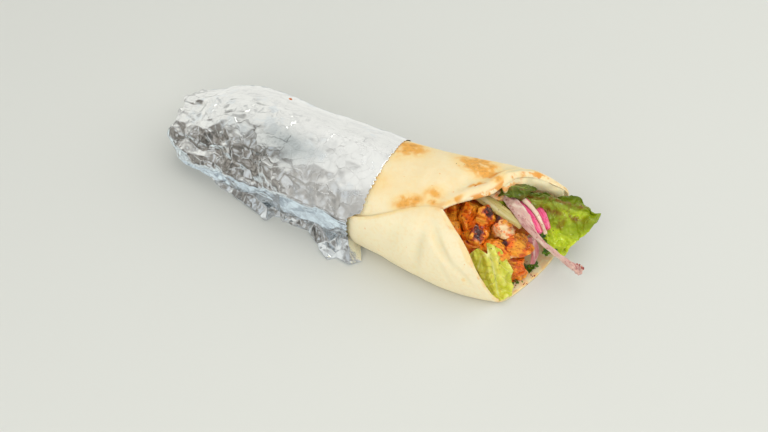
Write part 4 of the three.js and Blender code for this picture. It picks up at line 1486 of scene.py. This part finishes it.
def makeLeaf(name, node, spec, kind, seed, replaced=True):
    across = [smoothLine(row, spec["across"]) for row in spec["rows"]]
    begins = np.interp(np.linspace(0, 1, spec["across"]), *zip(*spec["base"]))
    lines = [smoothLine([row[j] for row in across], spec["along"], begin) for j, begin in enumerate(begins)]
    grid = np.swapaxes(np.array(lines), 0, 1) * mm + np.array(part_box(node)[0])
    v, u = np.meshgrid(np.linspace(0, 1, grid.shape[1]), np.linspace(0, 1, grid.shape[0]))
    flat = grid.reshape(-1, 3)

    def noise(size, offset, octaves=1):
        return roughNoise(flat, size, seed + offset, octaves).reshape(u.shape)

    # side veins leave the rib at a slant
    fromRib = np.abs(v - spec["rib"] - 0.05 * np.sin(u * 5))
    rib = bell(fromRib, 0, 0.030 + 0.035 * (1 - u)) * (1 - smoothStep(0.75, 1.0, u))
    slant = (u - 0.55 * fromRib + 0.02 * noise(8 * mm, 0)) * spec["veins"]
    veins = bell(np.abs(slant - np.round(slant)), 0, 0.07) * smoothStep(0.03, 0.1, fromRib) * (1 - 0.6 * u)
    blisters = np.abs(np.sin(slant * math.pi))
    rim = np.maximum(np.abs(2 * v - 1), u) ** 3
    wave = np.sin(2 * math.pi * (u * 2.1 + v * 1.4) + 2.5 * noise(16 * mm, 2))
    crinkle = noise(spec["crinkleSize"], 4, 3)
    # lengthwise folds, sharp on top
    foldPlace = v * 3.1 + 0.5 * u + 0.35 * noise(20 * mm, 3)
    folds = 1 - np.abs(2 * (foldPlace - np.floor(foldPlace)) - 1) ** 0.8
    creases = 1 - smoothStep(0, 0.30, np.abs(noise(spec["crinkleSize"], 9)))
    rise = spec["ruffle"] * rim * wave + spec["crinkle"] * crinkle
    rise = rise + 0.6 * mm * blisters * (1 - rib) - 0.5 * mm * rib
    rise = rise + spec["folds"] * (folds - 0.5) - spec["creases"] * creases
    grid = grid + gridNormals(grid) * rise[:, :, None]
    # an uneven outline
    outline = spec["ragged"] * noise(7 * mm, 6, 2) * rim
    grid[:, :, 0] += outline
    grid[:, :, 1] += 0.6 * outline
    grid[:, :, 2] = np.maximum(grid[:, :, 2], 0.6 * mm)
    leaf = sheetFrom(name, grid)
    paint(leaf, "vein", np.maximum(rib, 0.7 * veins))
    # painted light and shade: lighter on fold tops and the lower lobe, darker in the creases, near the tip,
    # towards the base and the far edge, with sauce in the folds
    lobe = spec.get("lobe", 0)
    shade = smoothStep(-0.5, 1.3, wave * rim + 0.6 * crinkle + 1.2 * (folds - 0.4) - 0.4 * creases)
    opened = smoothStep(*spec["shadeFrom"], 0.45 * u + 0.55 * v)
    shade = np.maximum(shade, lobe * smoothStep(0.5, 0.9, v) * smoothStep(0.3, 0.6, u))
    shade = shade * (1 - lobe * smoothStep(0.65, 0.95, u) * (1 - smoothStep(0.3, 0.9, v)))
    paint(leaf, "shade", (0.45 + 0.55 * shade) * (0.12 + 0.88 * opened))
    streak = bell(fromRib, 0.11, 0.05) * smoothStep(0.1, 0.3, u) * (1 - smoothStep(0.75, 0.95, u))
    drips = smoothStep(0.25, 0.6, noise(7 * mm, 8)) * (1 - rim)
    paint(leaf, "sauce", np.maximum(streak, drips))
    thicken(leaf, spec["thickness"])
    finishPiece(leaf, lettuceFinishes[kind], [node] if replaced else [])


lettuceFinishes = {kind: makeLettuceFinish(kind) for kind in lettuceLook}
makeLeaf("lettuce_green", "lettuce_leaf_green", greenLeaf, "green", 51)
makeLeaf("lettuce_green_fold", "lettuce_leaf_green", greenFold, "green", 55, replaced=False)
makeLeaf("lettuce_pale", "lettuce_leaf_pale", paleLeaf, "pale", 61)


# onion, turnip and cucumber

sliceLooks = {
    "onion": {"slot": "onion", "base": (0.68, 0.44, 0.36), "streak": (0.44, 0.15, 0.16),
              "light": (0.90, 0.76, 0.60), "roughness": 0.35},
    "paleOnion": {"slot": "onion", "base": (0.80, 0.62, 0.44), "streak": (0.62, 0.36, 0.27),
                  "light": (0.92, 0.82, 0.62), "roughness": 0.35},
    "redOnion": {"slot": "red_onion", "base": (0.56, 0.20, 0.20), "streak": (0.25, 0.03, 0.07),
                 "light": (0.86, 0.60, 0.52), "roughness": 0.3},
    "turnip": {"slot": "turnip", "base": (0.85, 0.035, 0.20), "streak": (0.93, 0.15, 0.34),
               "light": (0.93, 0.28, 0.30), "roughness": 0.25},
    "pickle": {"slot": "pickle", "base": (0.60, 0.49, 0.18), "streak": (0.42, 0.36, 0.09),
               "light": (0.80, 0.72, 0.42), "roughness": 0.3},
}

slices = rowsOf(
    ("name", "node", "look", "voxel", "ridges"),
    ("onion_long", "onion_slice_long", "onion", 0.42, 0.45),
    ("onion_thin", "onion_slice_thin", "paleOnion", 0.35, 0.2),
    ("onion_purple", "onion_slice_purple", "redOnion", 0.35, 0.2),
    ("onion_low", "onion_slice_low", "redOnion", 0.35, 0.25),
    ("turnip_stick_1", "turnip_pickle_1", "turnip", 0.45, 0.15),
    ("turnip_stick_2", "turnip_pickle_2", "turnip", 0.45, 0.15),
    ("cucumber_stick", "cucumber_pickle", "pickle", 0.45, 0.2))
rootEnd = "onion_long"
spiceColour = (0.35, 0.03, 0.03)


def makeSliceFinish(name):
    look = sliceLooks[name]
    material, tree, shader, place = newFinish(
        name, **{"Specular IOR Level": 0.5, "Subsurface Weight": 0.25, "Subsurface Scale": 0.003,
                 "Subsurface Radius": (1.0, 0.5, 0.4), "Coat Roughness": 0.15, "Coat Weight": 0.3,
                 "Roughness": look["roughness"]})
    grain = layerOf(tree, "grain", "Vector")
    spice = times(tree, specks(tree, place, 380.0, 0.3), layerOf(tree, "spiced"))
    base = layered(
        tree, look["base"],
        (mottle(tree, grain, 1.0, 0.42, 0.66), look["streak"]),
        (times(tree, mottle(tree, grain, 0.5, 0.45, 0.68), 0.8), look["light"]),
        (times(tree, spice, 0.8), spiceColour))
    tree.links.new(base, shader.inputs["Base Color"])
    bumpFrom(tree, shader, noiseOf(tree, grain, 1.3), 0.3 * mm, 0.5)
    return material


sliceFinishes = {name: makeSliceFinish(name) for name in sliceLooks}


def makeSlice(spec, seed):
    piece = copyNode(spec["node"], spec["name"])
    applyModifier(piece, "REMESH", mode="VOXEL", voxel_size=spec["voxel"] * mm)
    applyModifier(piece, "SMOOTH", factor=0.5, iterations=6)
    points, normals = pointsOf(piece), normalsOf(piece)
    # the grain runs along the piece's longest direction
    centred = points - points.mean(axis=0)
    directions = np.linalg.svd(centred, full_matrices=False)[2]
    if directions[0][0] < 0:
        directions = directions * np.array([[-1], [1], [1]])
    local = centred @ directions.T
    grain = local / np.array([14 * mm, 1.6 * mm, 1.6 * mm])
    rise = spec["ridges"] * mm * softNoise(grain, 1.0, seed) + 0.25 * mm * softNoise(points, 3 * mm, seed + 1)
    spiced = 0.5
    if spec["name"] == rootEnd:
        # frilled, with more spice on it
        along = (local[:, 0] - local[:, 0].min()) / np.ptp(local[:, 0])
        rooted = smoothStep(0.86, 0.96, along)
        rise += rooted * 1.1 * mm * softNoise(points, 1.5 * mm, seed + 2)
        spiced = np.maximum(0.7, rooted)
    movePoints(piece, points + normals * rise[:, None])
    paintPlace(piece, "grain", grain)
    paint(piece, "spiced", spiced)
    finishPiece(piece, sliceFinishes[spec["look"]], [spec["node"]])


for index, spec in enumerate(slices):
    makeSlice(spec, 200 + index * 7)


# parsley, crumbs and sauce

# parsley: shares of the bread's box, with the height to drop from unless it is held, size in mm and turn
parsleySpots = rowsOf(
    ("at", "size", "turn", "held"),
    ((0.958, 0.455, 0.20), 8.5, 20),
    ((0.966, 0.500, 0.20), 6.5, 140),
    ((0.945, 0.420, 0.14), 7.0, 250),
    ((0.950, 0.335, 0.12), 7.5, 60),
    ((0.936, 0.290, 0.12), 6.0, 200),
    ((0.964, 0.580, 0.40), 7.5, 100, True),
    ((0.978, 0.600, 0.33), 7.5, 300, True),
    ((0.986, 0.560, 0.22), 6.5, 10, True),
    ((1.005, 0.580, 0.24), 5.0, 60, True))

# groups of loose bits: a middle and half sizes as shares of the bread's box, how many and how large in mm
crumbZones = rowsOf(
    ("kind", "at", "half", "count", "size"),
    ("sumac", (0.965, 0.40, 0.12), (0.022, 0.14), 24, (0.35, 0.8)),
    ("sumac", (1.078, 0.565, 0.60), (0.020, 0.07), 80, (0.35, 0.85)),
    ("sumac", (1.000, 0.50, 0.90), (0.060, 0.06), 20, (0.25, 0.5)),
    ("pepper", (0.830, 0.42, 0.85), (0.070, 0.12), 26, (0.25, 0.5)),
    ("pepper", (0.930, 0.36, 0.60), (0.050, 0.12), 16, (0.25, 0.5)),
    ("pepper", (0.760, 0.50, 1.20), (0.060, 0.25), 5, (0.2, 0.35)),
    ("pepper", (0.985, 0.78, 1.00), (0.060, 0.14), 22, (0.25, 0.45)))

# thin sauce: a place, half sizes in mm and turn
sauceSpots = rowsOf(
    ("at", "half", "turn"),
    ((0.205, 0.740, 1.2), (1.2, 1.1, 0.5), 0),
    ((0.940, 0.300, 0.5), (1.1, 0.9, 0.5), 0),
    ((0.790, 0.500, 1.2), (0.9, 0.5, 0.25), 60))

bitLooks = {
    "parsley": {"low": (0.03, 0.085, 0.004), "high": (0.13, 0.27, 0.012), "scale": 300.0, "roughness": 0.35},
    "sumac": {"low": (0.26, 0.012, 0.012), "high": (0.55, 0.07, 0.04), "scale": 900.0, "roughness": 0.5},
    "pepper": {"low": (0.035, 0.012, 0.008), "high": (0.20, 0.06, 0.03), "scale": 900.0, "roughness": 0.45},
    "sauce": {"low": (0.55, 0.12, 0.010), "high": (0.95, 0.30, 0.03), "scale": 420.0, "roughness": 0.18},
}


def makeBitFinish(name):
    look = bitLooks[name]
    material, tree, shader, place = newFinish(name, **{"Roughness": look["roughness"]})
    patchy = mottle(tree, place, look["scale"], 0.38, 0.62)
    tree.links.new(blend(tree, patchy, look["low"], look["high"]), shader.inputs["Base Color"])
    bumpFrom(tree, shader, noiseOf(tree, place, 2 * look["scale"]), 0.2 * mm, 0.5)
    return material


def dropOn(graph, share):
    # the first surface of the wrap below a place, and which way it faces
    start = Vector(inBox("flatbread", share))
    found, place, normal, _, piece, _ = bpy.context.scene.ray_cast(graph, start, Vector((0, 0, -1)))
    return (np.array(place), normal) if found and piece.name != "floor" else (None, None)


def modelOf(addPrimitive, shapeIt):
    # one small model as plain lists, ready for copying
    deselectAll()
    addPrimitive()
    model = bpy.context.active_object
    points = shapeIt(pointsOf(model))
    faces = sorted(tuple(face.vertices) for face in model.data.polygons)
    bpy.data.objects.remove(model)
    return points, faces


def parsleyPoints(points):
    # a square sheet drawn into a round leaf of five lobes, curled
    angle = np.arctan2(points[:, 1], points[:, 0])
    away = np.maximum(np.abs(points[:, 0]), np.abs(points[:, 1]))
    lobes = 0.78 + 0.16 * np.cos(5 * angle) + 0.07 * np.cos(13 * angle)
    reach = away * mix(1, lobes, smoothStep(0.3, 1, away))
    height = 0.30 * away ** 2 * np.cos(2 * angle + 1) + 0.14 * away * np.sin(5 * angle)
    return np.stack([reach * np.cos(angle), reach * np.sin(angle), height], axis=1)


def layCopies(name, material, model, spots, lift, thickness=0.0):
    # copies of one model, each lying on what is under it, as one mesh
    points, faces = model
    allPoints, allFaces = [], []
    graph = bpy.context.evaluated_depsgraph_get()
    for spot in spots:
        if spot.get("held"):
            place, normal = inBox("flatbread", spot["at"]), Vector(outAndUp)
        else:
            place, normal = dropOn(graph, spot["at"])
        if place is None:
            continue
        upright = Vector((0, 0, 1)).rotation_difference(normal).to_matrix()
        turned = upright @ Matrix.Rotation(math.radians(spot["turn"]), 3, "Z")
        size = np.array(spot["half"]) * mm
        allFaces += [tuple(index + len(points) * len(allPoints) for index in face) for face in faces]
        laid = (points * size) @ np.array(turned).T + place + np.array(normal) * lift
        laid[:, 2] = np.maximum(laid[:, 2], 0.3 * mm)
        allPoints.append(laid)
    mesh = bpy.data.meshes.new(name)
    mesh.from_pydata(np.concatenate(allPoints).tolist(), [], allFaces)
    piece = bpy.data.objects.new(name, mesh)
    bpy.context.collection.objects.link(piece)
    if thickness:
        thicken(piece, thickness)
    finishPiece(piece, material)


def makeBits():
    disc = modelOf(lambda: bpy.ops.mesh.primitive_grid_add(x_subdivisions=10, y_subdivisions=10, size=2),
                   parsleyPoints)
    spots = [dict(spot, half=(spot["size"] / 2,) * 3) for spot in parsleySpots]
    layCopies("parsley_bits", makeBitFinish("parsley"), disc, spots, 0.8 * mm, 0.25 * mm)

    spread = np.random.default_rng(90)
    grains = {"sumac": [], "pepper": []}
    for zone in crumbZones:
        for _ in range(zone["count"]):
            shift = spread.uniform(-1, 1, 2)
            at = [zone["at"][i] + shift[i] * zone["half"][i] for i in range(2)] + [zone["at"][2]]
            half = spread.uniform(*zone["size"]) * spread.uniform(0.6, 1.0, 3)
            grains[zone["kind"]].append({"at": at, "half": half, "turn": spread.uniform(0, 360)})
    uneven = np.random.default_rng(91)
    crumb = modelOf(lambda: bpy.ops.mesh.primitive_ico_sphere_add(subdivisions=1, radius=1),
                    lambda points: points * uneven.uniform(0.7, 1.1, (len(points), 1)))
    for kind, spots in grains.items():
        layCopies(kind + "_grains", makeBitFinish(kind), crumb, spots, 0.15 * mm)

    drop = modelOf(lambda: bpy.ops.mesh.primitive_uv_sphere_add(segments=16, ring_count=8, radius=1),
                   lambda points: points * uneven.uniform(0.95, 1.05, (len(points), 1)))
    layCopies("sauce_drops", makeBitFinish("sauce"), drop, sauceSpots, 0.05 * mm)


makeBits()
print("bits ready")
